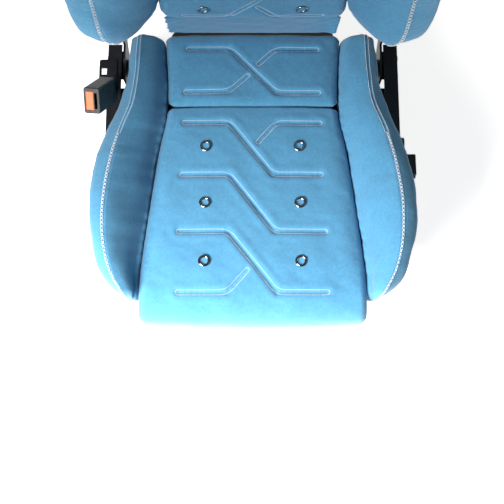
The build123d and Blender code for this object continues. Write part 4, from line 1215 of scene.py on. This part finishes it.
# ---- add-on -------------------------------------------------------------------------------------------
class RacingSeatFinishes(bpy.types.PropertyGroup):
    """Colours and sheens of the seat."""
    suede_colour: FloatVectorProperty(
        name="Suede", description="Colour of the covers", subtype="COLOR", size=3, min=0, max=1,
        default=(0.078, 0.28, 0.47))
    sheen: FloatProperty(
        name="Sheen",
        description="Strength of the suede's soft sheen", subtype="FACTOR", min=0, max=1, default=0.26)
    thread_colour: FloatVectorProperty(
        name="Thread", description="Colour of the stitching", subtype="COLOR", size=3, min=0, max=1,
        default=(0.86, 0.90, 0.93))
    paint_colour: FloatVectorProperty(
        name="Paint", description="Colour of the frames", subtype="COLOR", size=3, min=0, max=1,
        default=(0.012, 0.012, 0.014))
    button_colour: FloatVectorProperty(
        name="Button", description="Colour of the buckle's button", subtype="COLOR", size=3, min=0, max=1,
        default=(0.95, 0.13, 0.005))


class RacingSeatSewing(bpy.types.PropertyGroup):
    """Sizes of the stitching and the eyelets."""
    pitch: FloatProperty(
        name="Stitch pitch", description="Length from one stitch to the next", unit="LENGTH", default=0.0028)
    thread: FloatProperty(
        name="Thread radius", description="Half the thickness of the thread", unit="LENGTH", default=0.00055)
    ridge_gap: FloatProperty(
        name="Ridge gap",
        description="Distance of a stitch row from the ridge seam", unit="LENGTH", default=0.0044)
    cross_pitch: FloatProperty(
        name="Cross pitch",
        description="Length of one crossed stitch along the ridge", unit="LENGTH", default=0.0062)
    eyelet_outer: FloatProperty(
        name="Eyelet radius", description="Outer radius of an eyelet ring", unit="LENGTH", default=0.0099)
    eyelet_hole: FloatProperty(
        name="Eyelet hole", description="Radius of an eyelet's hole", unit="LENGTH", default=0.0052)


class RacingSeatStage(bpy.types.PropertyGroup):
    """Floor, lamps and lens."""
    floor_colour: FloatVectorProperty(
        name="Floor", description="Colour of the floor", subtype="COLOR", size=3, min=0, max=1,
        default=(0.92, 0.92, 0.92))
    floor_glow: FloatProperty(
        name="Floor glow", description="Light that the floor gives off by itself", min=0, default=0.80)
    key_power: FloatProperty(
        name="Key", description="Power of the lamp in front", unit="POWER", default=64.0)
    fill_power: FloatProperty(
        name="Fill", description="Power of the lamp at the side", unit="POWER", default=1.0)
    surround: FloatProperty(
        name="Surroundings", description="Strength of the light from all around", min=0, default=0.10)
    lens: FloatProperty(
        name="Lens", description="Focal length of the camera", unit="CAMERA", default=70.0)


class SeatStep:
    """What the steps share: each runs its own function, whose errors stop the build."""

    def execute(self, context):
        self.make()
        return {"FINISHED"}


class RACING_SEAT_OT_cushion(SeatStep, bpy.types.Operator):
    """Make the cushion's sewn panels, eyelets and foam"""
    bl_idname = "racing_seat.cushion"
    bl_label = "Cushion"

    make = staticmethod(make_cushion)


class RACING_SEAT_OT_cushion_bolsters(SeatStep, bpy.types.Operator):
    """Make the cushion's side bolsters"""
    bl_idname = "racing_seat.cushion_bolsters"
    bl_label = "Cushion bolsters"

    make = staticmethod(make_cushion_bolsters)


class RACING_SEAT_OT_back_pads(SeatStep, bpy.types.Operator):
    """Make the backrest's sewn pads, its eyelets and the head pad"""
    bl_idname = "racing_seat.back_pads"
    bl_label = "Back pads"

    make = staticmethod(make_back_pads)


class RACING_SEAT_OT_back_bolsters(SeatStep, bpy.types.Operator):
    """Make the backrest's side bolsters"""
    bl_idname = "racing_seat.back_bolsters"
    bl_label = "Back bolsters"

    make = staticmethod(make_back_bolsters)


class RACING_SEAT_OT_flap(SeatStep, bpy.types.Operator):
    """Make the soft flap behind the cushion"""
    bl_idname = "racing_seat.flap"
    bl_label = "Rear flap"

    make = staticmethod(make_flap)


class RACING_SEAT_OT_finishes(SeatStep, bpy.types.Operator):
    """Give the frames, rails, levers and buckle their finishes"""
    bl_idname = "racing_seat.finishes"
    bl_label = "Hard finishes"

    make = staticmethod(finish_cad_nodes)


class RACING_SEAT_OT_stage(SeatStep, bpy.types.Operator):
    """Make the floor, the lamps and the camera"""
    bl_idname = "racing_seat.stage"
    bl_label = "Stage"

    make = staticmethod(make_stage)


OPERATORS = (
    RACING_SEAT_OT_cushion, RACING_SEAT_OT_cushion_bolsters, RACING_SEAT_OT_back_pads,
    RACING_SEAT_OT_back_bolsters, RACING_SEAT_OT_flap, RACING_SEAT_OT_finishes, RACING_SEAT_OT_stage,
)


class RACING_SEAT_PT_panel(bpy.types.Panel):
    """Lists the seat's groups of pieces and their settings"""
    bl_idname = "RACING_SEAT_PT_panel"
    bl_label = "Racing Seat"
    bl_space_type = "VIEW_3D"
    bl_region_type = "UI"
    bl_category = "Racing Seat"

    def draw(self, context):
        for operator in OPERATORS:
            self.layout.operator(operator.bl_idname)
        for group in GROUPS:
            settings = getattr(context.scene, group)
            for name in settings.bl_rna.properties.keys():
                if name not in ("rna_type", "name"):
                    self.layout.prop(settings, name)


GROUPS = {
    "racing_seat_finishes": RacingSeatFinishes, "racing_seat_sewing": RacingSeatSewing,
    "racing_seat_stage": RacingSeatStage,
}


def register():
    for group, kind in GROUPS.items():
        bpy.utils.register_class(kind)
        setattr(bpy.types.Scene, group, PointerProperty(type=kind))
    for kind in (*OPERATORS, RACING_SEAT_PT_panel):
        bpy.utils.register_class(kind)


def unregister():
    for kind in reversed((*OPERATORS, RACING_SEAT_PT_panel)):
        bpy.utils.unregister_class(kind)
    for group, kind in GROUPS.items():
        delattr(bpy.types.Scene, group)
        bpy.utils.unregister_class(kind)


def main():
    """Makes the whole seat."""
    register()
    bpy.ops.racing_seat.stage()
    bpy.ops.racing_seat.finishes()
    bpy.ops.racing_seat.cushion()
    bpy.ops.racing_seat.cushion_bolsters()
    bpy.ops.racing_seat.back_pads()
    bpy.ops.racing_seat.back_bolsters()
    bpy.ops.racing_seat.flap()


if __name__ == "__main__":
    main()
